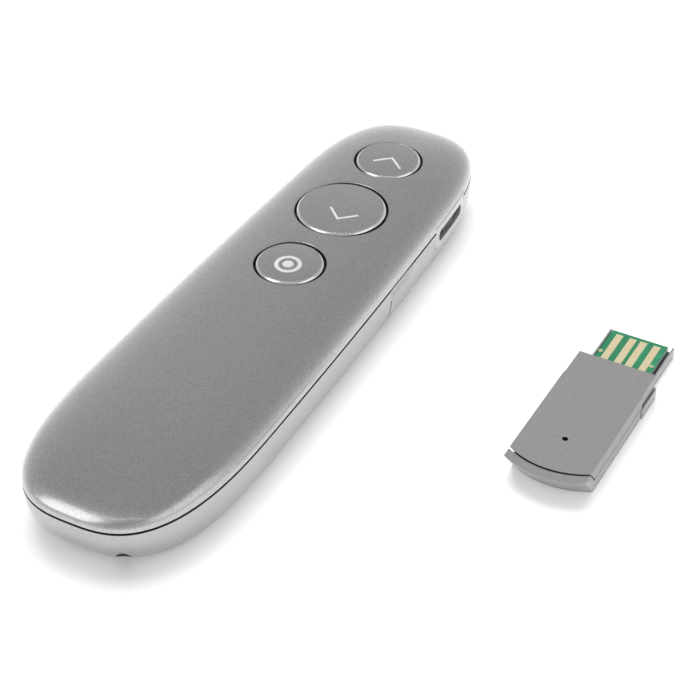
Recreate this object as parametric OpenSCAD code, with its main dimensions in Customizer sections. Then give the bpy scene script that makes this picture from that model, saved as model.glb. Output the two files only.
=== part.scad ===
// Wireless presentation clicker with three top buttons, a side power slider, a sliding
// battery door for two AAA cells and a slim USB receiver that lies beside it.
// Millimetres. +Y runs to the nose, +X to the right hand side, +Z up from the table.

/* [Body outline] */
// Length in front of the battery bay, up to the nose tip
front_len = 60.6; // [55:0.2:68]
// Length behind the battery bay, back to the tail tip
tail_room = 14.3; // [13:0.1:18]
// Half width where the tail cap meets the flanks
tail_half_w = 17.2; // [16.8:0.05:19]
// Half width where the nose cap meets the flanks
nose_half_w = 15.55; // [15.3:0.05:17.2]
// Length of the rounded tail cap
tail_cap_len = 33.3; // [30:0.1:36]
// Length of the rounded nose cap
nose_cap_len = 25.3; // [23:0.1:28]
// Squareness of the tail cap, where 2 is an ellipse
tail_power = 2.9; // [2.6:0.1:3.2]
// Squareness of the nose cap, where 2 is an ellipse
nose_power = 2.95; // [2.7:0.05:3.2]
// Outward belly of each flank halfway between the caps
flank_belly = 0.3; // [0:0.1:1]

/* [Shells] */
// Height of the shadow groove that parts the cover from the lower shell, at its middle
parting_z = 8.8; // [8.6:0.1:9.4]
// Width of the shadow groove
parting_gap = 0.5; // [0.3:0.05:0.6]
// Height of the top of the crown above the table
crown_top_z = 13.9; // [13.8:0.1:15]
// Squareness of the crown's shoulders
crown_power = 2.5; // [2.3:0.1:3]
// Wall of the top cover
cover_wall = 1.4; // [1:0.1:1.5]
// Wall of the lower shell
shell_wall = 1.4; // [1:0.1:1.5]
// Floor of the lower shell
floor_t = 1.2; // [0.8:0.1:1.2]
// How far the flat base is drawn in from the flanks
base_side = 3.4; // [2.5:0.1:4]
// How far the flat base is drawn in from the tail tip
base_tail = 12; // [10:0.5:14]
// How far the flat base is drawn in from the nose tip
base_nose = 8; // [6:0.5:9]
// Squareness of the turn from the wall into the base
base_power = 2.4; // [2.2:0.1:3]
// Thickness of the inner lip that keeps dust out of the groove
lip_t = 0.8; // [0.6:0.1:0.9]
// Clearance between the lip and the cover's wall
lip_gap = 0.3; // [0.25:0.05:0.35]
// Height of the lip above the cover's edge
lip_rise = 0.4; // [0.3:0.1:0.5]

/* [Battery door] */
// Distance of the seam behind the nose tip, as a share of the length in front of the bay
seam_share = 0.782; // [0.77:0.001:0.79]
// Width of the seam
seam_gap = 0.3; // [0.2:0.05:0.4]
// Length of the thumb ramp in front of the seam
scoop_len = 9.2; // [7:0.1:12]
// Depth of the thumb ramp at the seam
scoop_depth = 0.9; // [0.6:0.1:1.1]
// Height of the thumb ramp below the groove
scoop_h = 2.4; // [2:0.1:3]
// Clearance between the door and what it slides past
slide_gap = 0.3; // [0.25:0.05:0.35]
// Thickness of the door's guide rails
rail_t = 0.7; // [0.6:0.1:0.8]
// Height of the guide rails above the door's floor
rail_h = 2.1; // [1.8:0.1:3]
// Width of the tongue that hooks the door under the front housing
tongue_w = 4.4; // [3:0.2:4.6]
// Reach of the tongue past the seam
tongue_reach = 4; // [3:0.5:5]
// Thickness of the tongue
tongue_t = 0.8; // [0.6:0.1:0.9]
// Radius of the two lanyard holes in the tail
lanyard_r = 1; // [0.8:0.1:1.2]
// Place of the outer lanyard hole to the right of the centreline
lanyard_x = 7.4; // [6:0.1:8]
// Distance of the outer lanyard hole from the tail tip
lanyard_tail = 3.6; // [3.4:0.1:4.5]
// Distance between the two lanyard holes
lanyard_pitch = 5; // [4:0.1:6]

/* [Batteries] */
// Diameter of an AAA cell
cell_d = 10.5; // [10.3:0.1:10.5]
// Length of an AAA cell with its terminal
cell_len = 44.5; // [43.5:0.1:44.5]
// Distance between the two cells' axes
cell_pitch = 11.5; // [11.3:0.1:11.7]
// Diameter of the positive terminal
terminal_d = 3.8; // [3.4:0.1:4]
// Height of the positive terminal
terminal_h = 1; // [0.8:0.1:1.2]
// Clearance round each cell
cell_gap = 0.2; // [0.15:0.05:0.25]
// Length of a contact spring when a cell presses it
spring_len = 3.4; // [3:0.1:3.6]
// Wire of a contact spring
spring_wire = 0.5; // [0.4:0.05:0.6]
// Turns of a contact spring
spring_turns = 3; // [2:1:4]
// Thickness of the contact plates
plate_t = 0.3; // [0.2:0.05:0.4]
// Wall of the battery tray
tray_wall = 0.9; // [0.8:0.1:1]
// Height of the tray's lower edge above the door's floor
tray_lift = 1.5; // [1.4:0.1:1.7]
// Height of the tray's top edge
tray_top_z = 10.5; // [10:0.1:10.6]

/* [Buttons] */
// Distance of the page up button behind the nose tip, as a share of the length in front of the bay
page_up_share = 0.287; // [0.28:0.001:0.295]
// The same for the page down button
page_down_share = 0.591; // [0.585:0.001:0.597]
// The same for the laser button
laser_share = 0.903; // [0.895:0.001:0.91]
// Radius of the two small button holes
small_hole_r = 6.45; // [6.2:0.05:6.6]
// Radius of the large button hole
large_hole_r = 8.55; // [8.2:0.05:8.7]
// Gap between a button and its hole
button_gap = 0.4; // [0.3:0.05:0.5]
// How far a button stands above the cover round it
button_proud = 0.1; // [0:0.05:0.3]
// Height of the shallow dome on a button
dome_h = 0.2; // [0.1:0.05:0.3]
// Bevel round the top of a button
button_bevel = 0.45; // [0.3:0.05:0.6]
// Wall of a button
button_wall = 1.2; // [1:0.1:1.5]
// Depth of the shelf under the cover that stops the buttons, below the crown
shelf_depth = 2; // [1.9:0.05:2.1]
// Width of the shelf round each hole
shelf_w = 1.3; // [1.1:0.1:1.4]
// Width of the button's flange
flange_w = 0.75; // [0.6:0.05:0.9]
// Thickness of the button's flange
flange_t = 0.8; // [0.7:0.05:0.85]
// Clearance between the flange and the shelf
flange_gap = 0.1; // [0.05:0.05:0.15]
// Travel of a button
button_travel = 0.4; // [0.3:0.05:0.4]

/* [Switches and boards] */
// Underside of the main board
board_z = 7.2; // [7:0.1:7.2]
// Thickness of the main board
board_t = 1; // [0.8:0.1:1]
// Half width of the main board's wide part
board_half_w = 11.8; // [11:0.1:12]
// Half width of the main board's neck between the screw bosses
board_neck_w = 6.8; // [6:0.1:7]
// Half width of the main board at its nose end
board_nose_w = 7.6; // [7:0.1:8]
// Distance of the main board behind the nose tip, as a share of the length in front of the bay
board_front_share = 0.17; // [0.16:0.005:0.18]
// Width of a tactile switch
tact_w = 4.5; // [4:0.1:5]
// Height of a tactile switch
tact_h = 2; // [1.8:0.1:2]
// Radius of a tactile switch's plunger
plunger_r = 1.2; // [1:0.1:1.4]
// Clearance between a plunger and its switch
plunger_gap = 0.05; // [0.03:0.01:0.08]
// Reach of a plunger into its switch
plunger_sink = 0.3; // [0.2:0.05:0.4]
// Length of the pin under a button that meets the plunger
pip_len = 0.2; // [0.15:0.05:0.25]
// Width of the radio chip
chip_w = 5; // [4:0.1:6]
// Height of the radio chip
chip_h = 0.9; // [0.7:0.1:1]
// Length of the crystal can
crystal_len = 5; // [3:0.1:5]
// Width of the crystal can
crystal_w = 2.4; // [2:0.1:3.2]

/* [Power slider] */
// Distance of the bezel's rear end behind the nose tip, as a share of the length in front of the bay
bezel_share = 0.467; // [0.46:0.001:0.475]
// Length of the slider's bezel
bezel_len = 13.4; // [12.5:0.1:14]
// Lower edge of the bezel
bezel_z = 4.9; // [4.6:0.1:5.2]
// Height of the bezel
bezel_h = 4.8; // [4.6:0.1:5]
// Wall of the bezel
bezel_wall = 1.3; // [1.1:0.1:1.3]
// Length of the window in the bezel
window_len = 10.5; // [9:0.1:10.8]
// Height of the window in the bezel
window_h = 2.3; // [2:0.1:2.5]
// Lower edge of the window
window_z = 5.9; // [5.7:0.1:6.1]
// Length of the knob's ridge
knob_len = 3.7; // [3:0.1:4.5]
// Distance from the window's rear end to the knob at rest
knob_start = 2.7; // [2.2:0.1:3]
// Travel of the knob
knob_travel = 2; // [1.5:0.1:2.5]
// Thickness of the plate behind the window
knob_plate_t = 0.5; // [0.4:0.05:0.6]
// Overlap of the plate past the window's upper and lower edges
window_margin = 0.6; // [0.4:0.1:0.7]
// Clearance round the knob and its plate
knob_gap = 0.15; // [0.1:0.05:0.2]
// Length of the slide switch's case
switch_len = 8; // [7:0.1:9]
// Width of the slide switch's case
switch_w = 4; // [3.5:0.1:4.2]
// Height of the slide switch's case
switch_h = 3.3; // [3:0.1:3.5]
// Width of the slide switch's stem
stem_w = 1.5; // [1.2:0.1:1.8]
// Height of the slide switch's stem
stem_h = 1.2; // [1:0.1:1.4]

/* [Laser] */
// Height of the laser's axis
laser_z = 4.4; // [4.2:0.1:4.4]
// Radius of the laser's barrel
barrel_r = 2.6; // [2.4:0.1:2.6]
// Length of the laser's barrel
barrel_len = 12; // [10:0.5:13]
// Front end of the barrel, back from the nose tip
barrel_back = 4.8; // [4.5:0.1:6]
// Bore of the barrel
barrel_bore_r = 1.9; // [1.7:0.1:2]
// Length of the diode's can
diode_len = 3; // [2.5:0.1:4]
// Thickness of the lens in the barrel
lens_t = 1.5; // [1:0.1:2]
// Radius of the window in the nose
nose_window_r = 2.2; // [2:0.1:2.4]
// Thickness of the window in the nose
nose_window_t = 1; // [0.8:0.1:1.1]
// Fit between turned pieces and their seats
seat_gap = 0.03; // [0.02:0.01:0.05]
// Thickness of the ribs that hold the barrel
cradle_t = 1.2; // [1:0.1:1.5]

/* [Screws] */
// Radius of the screw bosses
boss_r = 2.1; // [1.9:0.05:2.2]
// Extra radius at the root of a boss
boss_flare = 0.3; // [0.2:0.05:0.4]
// Radius of a screw's shank
screw_r = 0.85; // [0.8:0.05:0.9]
// Radius of a screw's head
screw_head_r = 1.6; // [1.4:0.05:1.7]
// Height of a screw's head
screw_head_h = 0.7; // [0.6:0.05:0.8]
// Length of a case screw under its head
case_screw_len = 6; // [5:0.5:8]
// Length of a board screw under its head
board_screw_len = 4; // [3:0.5:5]
// Thickness of the ears that the case screws clamp
ear_t = 1.3; // [1.2:0.05:1.4]
// Half the distance between the front case screws
front_screw_x = 9.5; // [9.3:0.1:9.7]
// Half the distance between the rear case screws
rear_screw_x = 6.5; // [6:0.1:7]
// Half the distance between the board screws
board_screw_x = 9.6; // [9.2:0.1:9.8]

/* [Receiver] */
// Place of the receiver's centreline to the right of the clicker's
receiver_x = 57.6; // [40:0.1:80]
// Place of the front edge of the receiver's cover
receiver_y = 18.9; // [0:0.1:30]
// Width of the receiver's body
receiver_w = 14.4; // [14.2:0.1:16]
// Length of the cover from its front edge to its rear corners
receiver_len = 28.4; // [26:0.1:34]
// Height of the receiver's cover above the table
receiver_h = 5; // [4.8:0.1:5.4]
// Bow of the cover's rear edge
receiver_bow = 2; // [1.5:0.1:2.4]
// Lean of the rear faces, out of the upright
rear_lean = 38; // [30:1:42]
// Length of the narrowed front of the cover
shoulder_len = 6.2; // [4:0.1:8]
// Step from the narrowed front to the full width, on each side
shoulder_step = 0.15; // [0.1:0.05:0.4]
// How far the tray stands out below the narrowed front, on each side
tray_step = 0.2; // [0.1:0.05:0.3]
// Height of the receiver's tray along its flanks
tray_side_z = 2.2; // [2.1:0.05:2.4]
// Width of the raised lip behind the cover
lip_len = 2; // [1.6:0.1:2.4]
// Gap between the cover and the raised lip
lip_slot = 0.4; // [0.3:0.05:0.5]
// Drop of the raised lip below the cover
lip_drop = 0.15; // [0:0.05:0.3]
// Wall of the receiver's pieces
receiver_wall = 0.8; // [0.6:0.05:0.9]
// Height of the slit in the cover's front flanks
slit_h = 0.5; // [0.4:0.05:0.6]
// Width of the USB tongue
tongue_usb_w = 12; // [11.9:0.05:12.1]
// Length of the USB tongue
tongue_usb_len = 12; // [11.5:0.1:12.5]
// Height of the USB tongue's walls
tongue_usb_h = 2; // [1.9:0.05:2.1]
// Wall of the USB tongue's trough
trough_wall = 0.3; // [0.25:0.05:0.35]
// Floor of the USB tongue's trough
trough_floor = 0.8; // [0.6:0.05:0.9]
// Half width of the receiver's board
stick_half_w = 5.25; // [5.1:0.05:5.3]
// Sideways set of the receiver's board
stick_shift = -0.35; // [-0.4:0.05:0.4]
// Thickness of the receiver's board
stick_t = 1; // [0.8:0.05:1.1]
// Distance from an inner contact to the board's centreline
contact_inner_x = 1; // [0.9:0.05:1.1]
// Distance from an outer contact to the board's centreline
contact_outer_x = 3.5; // [3.4:0.05:3.6]
// Width of a contact
contact_w = 1.3; // [1.2:0.05:1.5]
// Thickness of a contact
contact_t = 0.06; // [0.05:0.01:0.1]
// Distance of the indicator hole behind the cover's front edge
indicator_back = 22.4; // [20:0.1:24]
// Radius of the indicator hole
indicator_r = 0.5; // [0.4:0.05:0.7]

/* [Hidden] */

// Fine resolution for round features and overlap used where two cuts meet
$fn = 48;
over = 1;
eps = 0.01;
// Segments of the lofted outline: round each cap, and along each flank
cap_steps = 24;
flank_steps = 4;
// Steps of the shell's profile from the edge to the crown or the base
profile_steps = 6;

bay_len = cell_len + spring_len + 2 * plate_t + cell_gap;
body_len = front_len + bay_len + tail_room;
tip_y = body_len / 2;
tail_y = tail_cap_len - tip_y;
nose_y = tip_y - nose_cap_len;
seam_y = tip_y - seam_share * front_len;
page_up_y = tip_y - page_up_share * front_len;
page_down_y = tip_y - page_down_share * front_len;
laser_y = tip_y - laser_share * front_len;
bezel_y = tip_y - bezel_share * front_len;
board_front_y = tip_y - board_front_share * front_len;
tray_front_y = tip_y - front_len;
tray_rear_y = tray_front_y - bay_len;
cover_edge_z = parting_z + parting_gap / 2;
shell_edge_z = parting_z - parting_gap / 2;
cover_h = crown_top_z - cover_edge_z;

cell_r = cell_d / 2;
cell_z = floor_t + slide_gap + cell_r;
tray_floor_z = floor_t + tray_lift;
tray_half_w = cell_pitch / 2 + cell_r + cell_gap + tray_wall;
rail_x = tray_half_w + slide_gap;

shelf_z = crown_top_z - shelf_depth;
flange_top_z = shelf_z - flange_gap;
flange_z = flange_top_z - flange_t;
pip_z = flange_z - pip_len;
board_top_z = board_z + board_t;
tact_top_z = board_top_z + tact_h;
plunger_top_z = pip_z - plunger_gap;
plunger_z = tact_top_z - plunger_sink;

button_ys = [page_up_y, page_down_y, laser_y];
button_holes = [small_hole_r, large_hole_r, small_hole_r];

ear_z = floor_t + 2 * slide_gap;
arm_z = ear_z + ear_t;
arm_top_z = arm_z + ear_t;
ear_len = boss_r * 2 + slide_gap;
front_screw_y = seam_y - boss_r - 1.5 * slide_gap;
rear_screw_y = tray_rear_y - tray_wall - boss_r - boss_flare - seat_gap;
rear_flange_len = 2 * boss_r + boss_flare + seat_gap;
board_rear_y = tray_front_y + tray_wall + slide_gap;
board_wide_y = front_screw_y + boss_r + boss_flare + slide_gap;
board_posts_y = [board_wide_y + boss_r, board_front_y - 2 * boss_r];

barrel_front_y = tip_y - barrel_back;
barrel_rear_y = barrel_front_y - barrel_len;
nose_window_y = tip_y - shell_wall - nose_window_t;

window_y = bezel_y + (bezel_len - window_len) / 2;
knob_y = window_y + knob_start;
knob_mid_y = knob_y + knob_len / 2;
knob_ridge_x = nose_cap_w(knob_y + knob_len + knob_travel) - knob_gap / 2;
knob_plate_x = nose_cap_w(bezel_y + bezel_len + knob_gap) - bezel_wall - knob_gap - knob_plate_t;
knob_plate_z = window_z - window_margin;
knob_plate_h = window_h + 2 * window_margin - knob_gap;
stem_z = board_z - switch_h / 2 - stem_h / 2;
switch_x = board_half_w - switch_w;

stick_z = trough_floor;
stick_top_z = stick_z + stick_t;
cover_slit_z = tray_side_z + slit_h;
lip_top_z = receiver_h - lip_drop;
cover_back = receiver_len - receiver_h * tan(rear_lean);
tray_back = cover_back + lip_slot + lip_len;
stick_back = cover_back - receiver_wall - slide_gap;

// ---------------------------------------------------------------- outline and lofts

// Power that keeps the sign of its base, for superellipse corners
function spow(v, e) = sign(v) * pow(abs(v), e);

// Half width of the body without its caps: a straight taper with a belly
function half_w(y) =
    let (m = (nose_y - y) / (nose_y - tail_y))
    nose_half_w + (tail_half_w - nose_half_w) * m + 4 * flank_belly * m * (1 - m);

// Points of a cap from angle a to angle b: reach c, centre y0, squareness p, drawn in at the sides
function cap_points(c, y0, p, a, b, side, k) = [
    for (i = [0 : cap_steps])
        let (t = a + (b - a) * i / cap_steps, y = c * spow(sin(t), 2 / p))
        [(half_w(y0 + y) - side) * k * spow(cos(t), 2 / p), y0 + k * y]
];

// Points of one flank between the caps: dir is 1 on the right and -1 on the left
function flank_points(side, k, dir) = [
    for (i = [1 : flank_steps - 1])
        let (m = dir < 0 ? i / flank_steps : 1 - i / flank_steps, y = nose_y + (tail_y - nose_y) * m)
        [dir * (half_w(y) - side) * k, y]
];

// Half width of the outline at a place in the nose cap
function nose_cap_w(y) =
    half_w(y) * pow(1 - pow(max(y - nose_y, 0) / nose_cap_len, nose_power), 1 / nose_power);

// The plan outline: scaled by k about the caps' centres, drawn in by the three insets
function plan(side = 0, tail = 0, nose = 0, k = 1) = concat(
    cap_points(nose_cap_len - nose, nose_y, nose_power, 0, 180, side, k),
    flank_points(side, k, -1),
    cap_points(tail_cap_len - tail, tail_y, tail_power, 180, 360, side, k),
    flank_points(side, k, 1)
);

function at_height(points, z) = [for (p = points) [p[0], p[1], z]];

// A closed solid through rings of equal point count, from the lowest to the highest
module loft(rings) {
    n = len(rings[0]);
    last = (len(rings) - 1) * n;
    sides = [
        for (j = [0 : len(rings) - 2], i = [0 : n - 1])
            let (a = j * n + i, b = j * n + (i + 1) % n)
            each [[a, a + n, b + n], [a, b + n, b]]
    ];
    floor_face = [for (i = [0 : n - 1]) i];
    roof_face = [for (i = [n - 1 : -1 : 0]) last + i];
    polyhedron([for (r = rings) each r], concat([floor_face], sides, [roof_face]));
}

// Rings of a crown that rises from z0 to z1, drawn in by inset all round
function crown_rings(inset, z0, z1) = [
    for (i = [0 : profile_steps])
        let (t = 86 * i / profile_steps)
        at_height(plan(inset, inset, inset, pow(cos(t), 2 / crown_power)),
            z0 + (z1 - z0) * pow(sin(t), 2 / crown_power))
];

// Rings of the lower shell from its flat base at z0 up to its edge at z1
function base_rings(inset, z0, z1) = [
    for (i = [profile_steps : -1 : 0])
        let (t = 90 * i / profile_steps, g = 1 - pow(max(cos(t), 0), 2 / base_power))
        at_height(plan(inset + base_side * g, inset + base_tail * g, inset + base_nose * g),
            z1 - (z1 - z0) * pow(sin(t), 2 / base_power))
];

// Height of the cover's outer surface on the centreline
function crown_z(y) =
    let (t = y > nose_y ? (y - nose_y) / nose_cap_len : y < tail_y ? (tail_y - y) / tail_cap_len : 0)
    cover_edge_z + cover_h * pow(1 - pow(t, crown_power), 1 / crown_power);

// A box given by its lowest corner and its size
module box(low, size) {
    translate(low) cube(size);
}

// A box centred on the YZ plane
module mid_box(half_w, y, z, len, h) {
    box([-half_w, y, z], [2 * half_w, len, h]);
}

// The same thing on both sides of the YZ plane
module both_sides() {
    children();
    mirror([1, 0, 0]) children();
}

// A cylinder along +Y
module rod_y(r, len) {
    rotate([-90, 0, 0]) cylinder(r = r, h = len);
}

module front_half(y, h) {
    mid_box(tail_half_w + over, y, -over, body_len, h + 2 * over);
}

module rear_half(y, h) {
    mid_box(tail_half_w + over, y - body_len, -over, body_len, h + 2 * over);
}

module at_front_screws() {
    both_sides() translate([front_screw_x, front_screw_y, 0]) children();
}

module at_rear_screws() {
    both_sides() translate([rear_screw_x, rear_screw_y, 0]) children();
}

module at_board_screws() {
    translate([board_screw_x, board_posts_y[0], 0]) children();
    translate([-board_screw_x, board_posts_y[0], 0]) children();
}

// ---------------------------------------------------------------- top cover

// What stays solid inside the cover: shelves round the buttons and roots of the bosses
module cover_inside_solids() {
    for (i = [0 : len(button_ys) - 1])
        translate([0, button_ys[i], shelf_z]) cylinder(r = button_holes[i] + shelf_w, h = cover_h);
    at_front_screws() translate([0, 0, cover_edge_z]) cylinder(r = boss_r + boss_flare, h = cover_h);
    at_rear_screws() translate([0, 0, cover_edge_z]) cylinder(r = boss_r + boss_flare, h = cover_h);
}

module cover_cavity() {
    difference() {
        loft(concat([at_height(plan(cover_wall, cover_wall, cover_wall), cover_edge_z - over)],
            crown_rings(cover_wall, cover_edge_z, crown_top_z - cover_wall)));
        cover_inside_solids();
    }
}

// Bosses that reach down from the cover to the ears of the front housing and the tray
module cover_bosses() {
    reach = cover_edge_z + over;
    at_front_screws() translate([0, 0, arm_top_z]) cylinder(r = boss_r, h = reach - arm_top_z);
    at_rear_screws() translate([0, 0, arm_top_z]) cylinder(r = boss_r, h = reach - arm_top_z);
}

module boss_pilots() {
    depth = screw_head_h + case_screw_len;
    at_front_screws() translate([0, 0, arm_z]) cylinder(r = screw_r + seat_gap, h = depth);
    at_rear_screws() translate([0, 0, arm_z]) cylinder(r = screw_r + seat_gap, h = depth);
}

module bezel_notch() {
    box([nose_half_w - 2 * bezel_wall, bezel_y, bezel_z],
        [tail_half_w, bezel_len, bezel_h]);
}

module top_cover() {
    color("#8c8d92")
    difference() {
        union() {
            difference() {
                loft(crown_rings(0, cover_edge_z, crown_top_z));
                cover_cavity();
            }
            cover_bosses();
        }
        for (i = [0 : len(button_ys) - 1])
            translate([0, button_ys[i], shelf_z - over])
                cylinder(r = button_holes[i], h = crown_top_z);
        boss_pilots();
        bezel_notch();
        // hollows over the two cells
        for (x = [-cell_pitch / 2, cell_pitch / 2])
            translate([x, tray_rear_y, cell_z]) rod_y(cell_r + slide_gap, bay_len);
    }
}

// ---------------------------------------------------------------- lower shell

// The whole lower shell with its cavity, before it is parted into housing and door
module lower_shell() {
    difference() {
        loft(base_rings(0, 0, shell_edge_z));
        loft(concat(base_rings(shell_wall, floor_t, shell_edge_z),
            [at_height(plan(shell_wall, shell_wall, shell_wall), shell_edge_z + over)]));
    }
}

// The lip inside the groove, with a root that joins it to the housing's wall
module groove_lip() {
    outer = shell_wall + lip_gap;
    inner = outer + lip_t;
    root = shell_wall / 2;
    root_h = 2 * lip_t;
    translate([0, 0, shell_edge_z - root_h])
        linear_extrude(root_h + parting_gap + lip_rise)
            difference() {
                polygon(plan(outer, outer, outer));
                polygon(plan(inner, inner, inner));
            }
    translate([0, 0, shell_edge_z - root_h])
        linear_extrude(root_h - eps)
            difference() {
                polygon(plan(root, root, root));
                polygon(plan(inner, inner, inner));
            }
}

// Posts under the main board, ears at the seam and the ribs that carry the laser
module housing_inside() {
    rib_half = barrel_r + cradle_t;
    for (x = [-board_screw_x, board_screw_x])
        translate([x, board_posts_y[0], floor_t - eps]) cylinder(r = boss_r, h = board_z - floor_t + eps);
    for (x = [-board_nose_w + boss_r, board_nose_w - boss_r])
        translate([x, board_posts_y[1], floor_t - eps]) cylinder(r = boss_r, h = board_z - floor_t + eps);
    both_sides()
        box([front_screw_x - ear_len / 2, front_screw_y - ear_len / 2, ear_z],
            [ear_len, seam_y - front_screw_y + ear_len / 2 + cradle_t + seam_gap, ear_t]);
    both_sides()
        box([front_screw_x - ear_len / 2, seam_y + seam_gap / 2, floor_t - eps],
            [ear_len, cradle_t, ear_z - floor_t + ear_t + eps]);
    for (y = [barrel_rear_y + cradle_t, barrel_front_y - 2 * cradle_t])
        mid_box(rib_half, y, floor_t - eps, cradle_t, laser_z - floor_t);
}

// Shallow ramps for the thumb that fade out towards the nose
module thumb_ramps() {
    foot_x = half_w(seam_y) - scoop_depth;
    end_x = half_w(seam_y + scoop_len);
    side_x = tail_half_w + over;
    both_sides()
        translate([0, 0, shell_edge_z - scoop_h])
            linear_extrude(scoop_h + over)
                polygon([[foot_x, seam_y], [side_x, seam_y],
                    [side_x, seam_y + scoop_len * (side_x - foot_x) / (end_x - foot_x)]]);
}

module bottom_housing() {
    y0 = seam_y + seam_gap / 2;
    color("#c9c8c4")
    difference() {
        union() {
            intersection() {
                union() {
                    lower_shell();
                    groove_lip();
                }
                front_half(y0, crown_top_z);
            }
            housing_inside();
        }
        thumb_ramps();
        bezel_notch();
        // room for the knob's plate and its travel behind the bezel
        box([knob_plate_x - knob_gap, bezel_y - knob_travel, knob_plate_z - knob_gap],
            [knob_plate_t + 2 * knob_gap, bezel_len + 2 * knob_travel, crown_top_z]);
        translate([0, barrel_rear_y - over, laser_z]) rod_y(barrel_r + seat_gap, barrel_len + over);
        translate([0, barrel_front_y, laser_z]) rod_y(nose_window_r + seat_gap, 2 * barrel_back);
        at_front_screws() {
            translate([0, 0, ear_z - over]) cylinder(r = screw_r + cell_gap, h = ear_t + 2 * over);
            translate([0, 0, ear_z - over]) cylinder(r = screw_head_r + cell_gap, h = over + screw_head_h);
        }
        at_board_screws() translate([0, 0, board_z - board_screw_len])
            cylinder(r = screw_r + seat_gap, h = board_screw_len + over);
    }
}

module battery_door() {
    y1 = seam_y - seam_gap / 2;
    root_len = 2 * tongue_t;
    tongue_z = floor_t + slide_gap;
    color("#c9c8c4")
    difference() {
        union() {
            intersection() {
                lower_shell();
                rear_half(y1, shell_edge_z);
            }
            both_sides()
                box([rail_x, tray_rear_y, floor_t - eps], [rail_t, bay_len + ear_len, rail_h + eps]);
            mid_box(tongue_w / 2, y1 - root_len, floor_t - eps, root_len, tongue_t + slide_gap + eps);
            mid_box(tongue_w / 2, y1 - root_len, tongue_z, root_len + tongue_reach, tongue_t);
        }
        for (i = [0, 1])
            translate([lanyard_x - i * over, lanyard_tail - tip_y + i * lanyard_pitch, -over])
                cylinder(r = lanyard_r, h = shell_edge_z);
    }
}

// ---------------------------------------------------------------- battery bay

// The trough that one cell drops into from below
module cell_trough(x) {
    r = cell_r + cell_gap;
    translate([x, tray_rear_y, cell_z]) rod_y(r, bay_len);
    box([x - r, tray_rear_y, tray_floor_z - over], [2 * r, bay_len, cell_z - tray_floor_z + over]);
}

module battery_tray() {
    bridge_h = terminal_d / 2;
    color("#3a3b3e")
    difference() {
        union() {
            mid_box(tray_half_w, tray_rear_y - tray_wall, tray_floor_z,
                bay_len + 2 * tray_wall, tray_top_z - tray_floor_z);
            mid_box(rear_screw_x + boss_r, tray_rear_y - tray_wall - rear_flange_len, arm_z,
                rear_flange_len + eps, ear_t);
            both_sides()
                box([front_screw_x - ear_len / 2, tray_front_y, arm_z],
                    [ear_len, front_screw_y - tray_front_y + ear_len / 2, ear_t]);
        }
        cell_trough(-cell_pitch / 2);
        cell_trough(cell_pitch / 2);
        // passage for the bridge between the two rear contacts
        mid_box(cell_pitch / 4, tray_rear_y, cell_z - bridge_h / 2 - cell_gap,
            plate_t + cell_gap, bridge_h + 2 * cell_gap);
        at_front_screws() translate([0, 0, arm_z - over])
            cylinder(r = screw_r + cell_gap, h = ear_t + 2 * over);
        at_rear_screws() {
            translate([0, 0, arm_z - over]) cylinder(r = screw_r + cell_gap, h = ear_t + 2 * over);
            translate([0, 0, arm_z - over]) cylinder(r = screw_head_r + cell_gap, h = over + screw_head_h);
        }
    }
}

// A cell from its flat end to the tip of its terminal, along +Y
module cell() {
    rod_y(cell_r, cell_len - terminal_h);
    translate([0, cell_len - terminal_h - eps, 0]) rod_y(terminal_d / 2, terminal_h + eps);
}

module battery_left() {
    color("#4b6a57")
    translate([-cell_pitch / 2, tray_front_y - plate_t - cell_gap / 2 - cell_len, cell_z]) cell();
}

module battery_right() {
    color("#4b6a57")
    translate([cell_pitch / 2, tray_rear_y + plate_t + cell_gap / 2 + cell_len, cell_z])
        rotate([0, 0, 180]) cell();
}

// A conical contact spring along +Y: a wire swept round a helix that widens towards its base
module contact_spring() {
    sides = 6;
    steps = 12 * spring_turns;
    wire_r = spring_wire / 2;
    tip_r = terminal_d / 2;
    base_r = cell_r * 0.62;
    run = spring_len - spring_wire - cell_gap;
    points = [
        for (i = [0 : steps])
            let (t = i / steps, a = 360 * spring_turns * t, r = base_r + (tip_r - base_r) * t)
            each [for (k = [0 : sides - 1])
                let (b = 360 * k / sides, q = r + wire_r * cos(b))
                [q * cos(a), wire_r + run * t + wire_r * sin(b), q * sin(a)]]
    ];
    walls = [
        for (i = [0 : steps - 1], k = [0 : sides - 1])
            let (a = i * sides + k, b = i * sides + (k + 1) % sides)
            each [[a, a + sides, b + sides], [a, b + sides, b]]
    ];
    start = [for (k = [0 : sides - 1]) k];
    end = [for (k = [sides - 1 : -1 : 0]) steps * sides + k];
    polyhedron(points, concat([start], walls, [end]));
}

module battery_springs() {
    color("#c8c9cc") {
        translate([-cell_pitch / 2, tray_rear_y + plate_t, cell_z]) contact_spring();
        translate([cell_pitch / 2, tray_front_y - plate_t, cell_z]) rotate([0, 0, 180]) contact_spring();
    }
}

// A contact plate on one cell's axis, against the wall at y
module contact_plate(x, y) {
    half = cell_r * 0.7;
    box([x - half, y, cell_z - half], [2 * half, plate_t, 2 * half]);
}

module front_contacts() {
    color("#c8c9cc") {
        contact_plate(-cell_pitch / 2, tray_front_y - plate_t);
        contact_plate(cell_pitch / 2, tray_front_y - plate_t);
    }
}

module bridge_contact() {
    bridge_h = terminal_d / 2;
    color("#c8c9cc") {
        contact_plate(-cell_pitch / 2, tray_rear_y);
        contact_plate(cell_pitch / 2, tray_rear_y);
        mid_box(cell_pitch / 2, tray_rear_y, cell_z - bridge_h / 2, plate_t, bridge_h);
    }
}

// ---------------------------------------------------------------- buttons and switches

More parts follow.
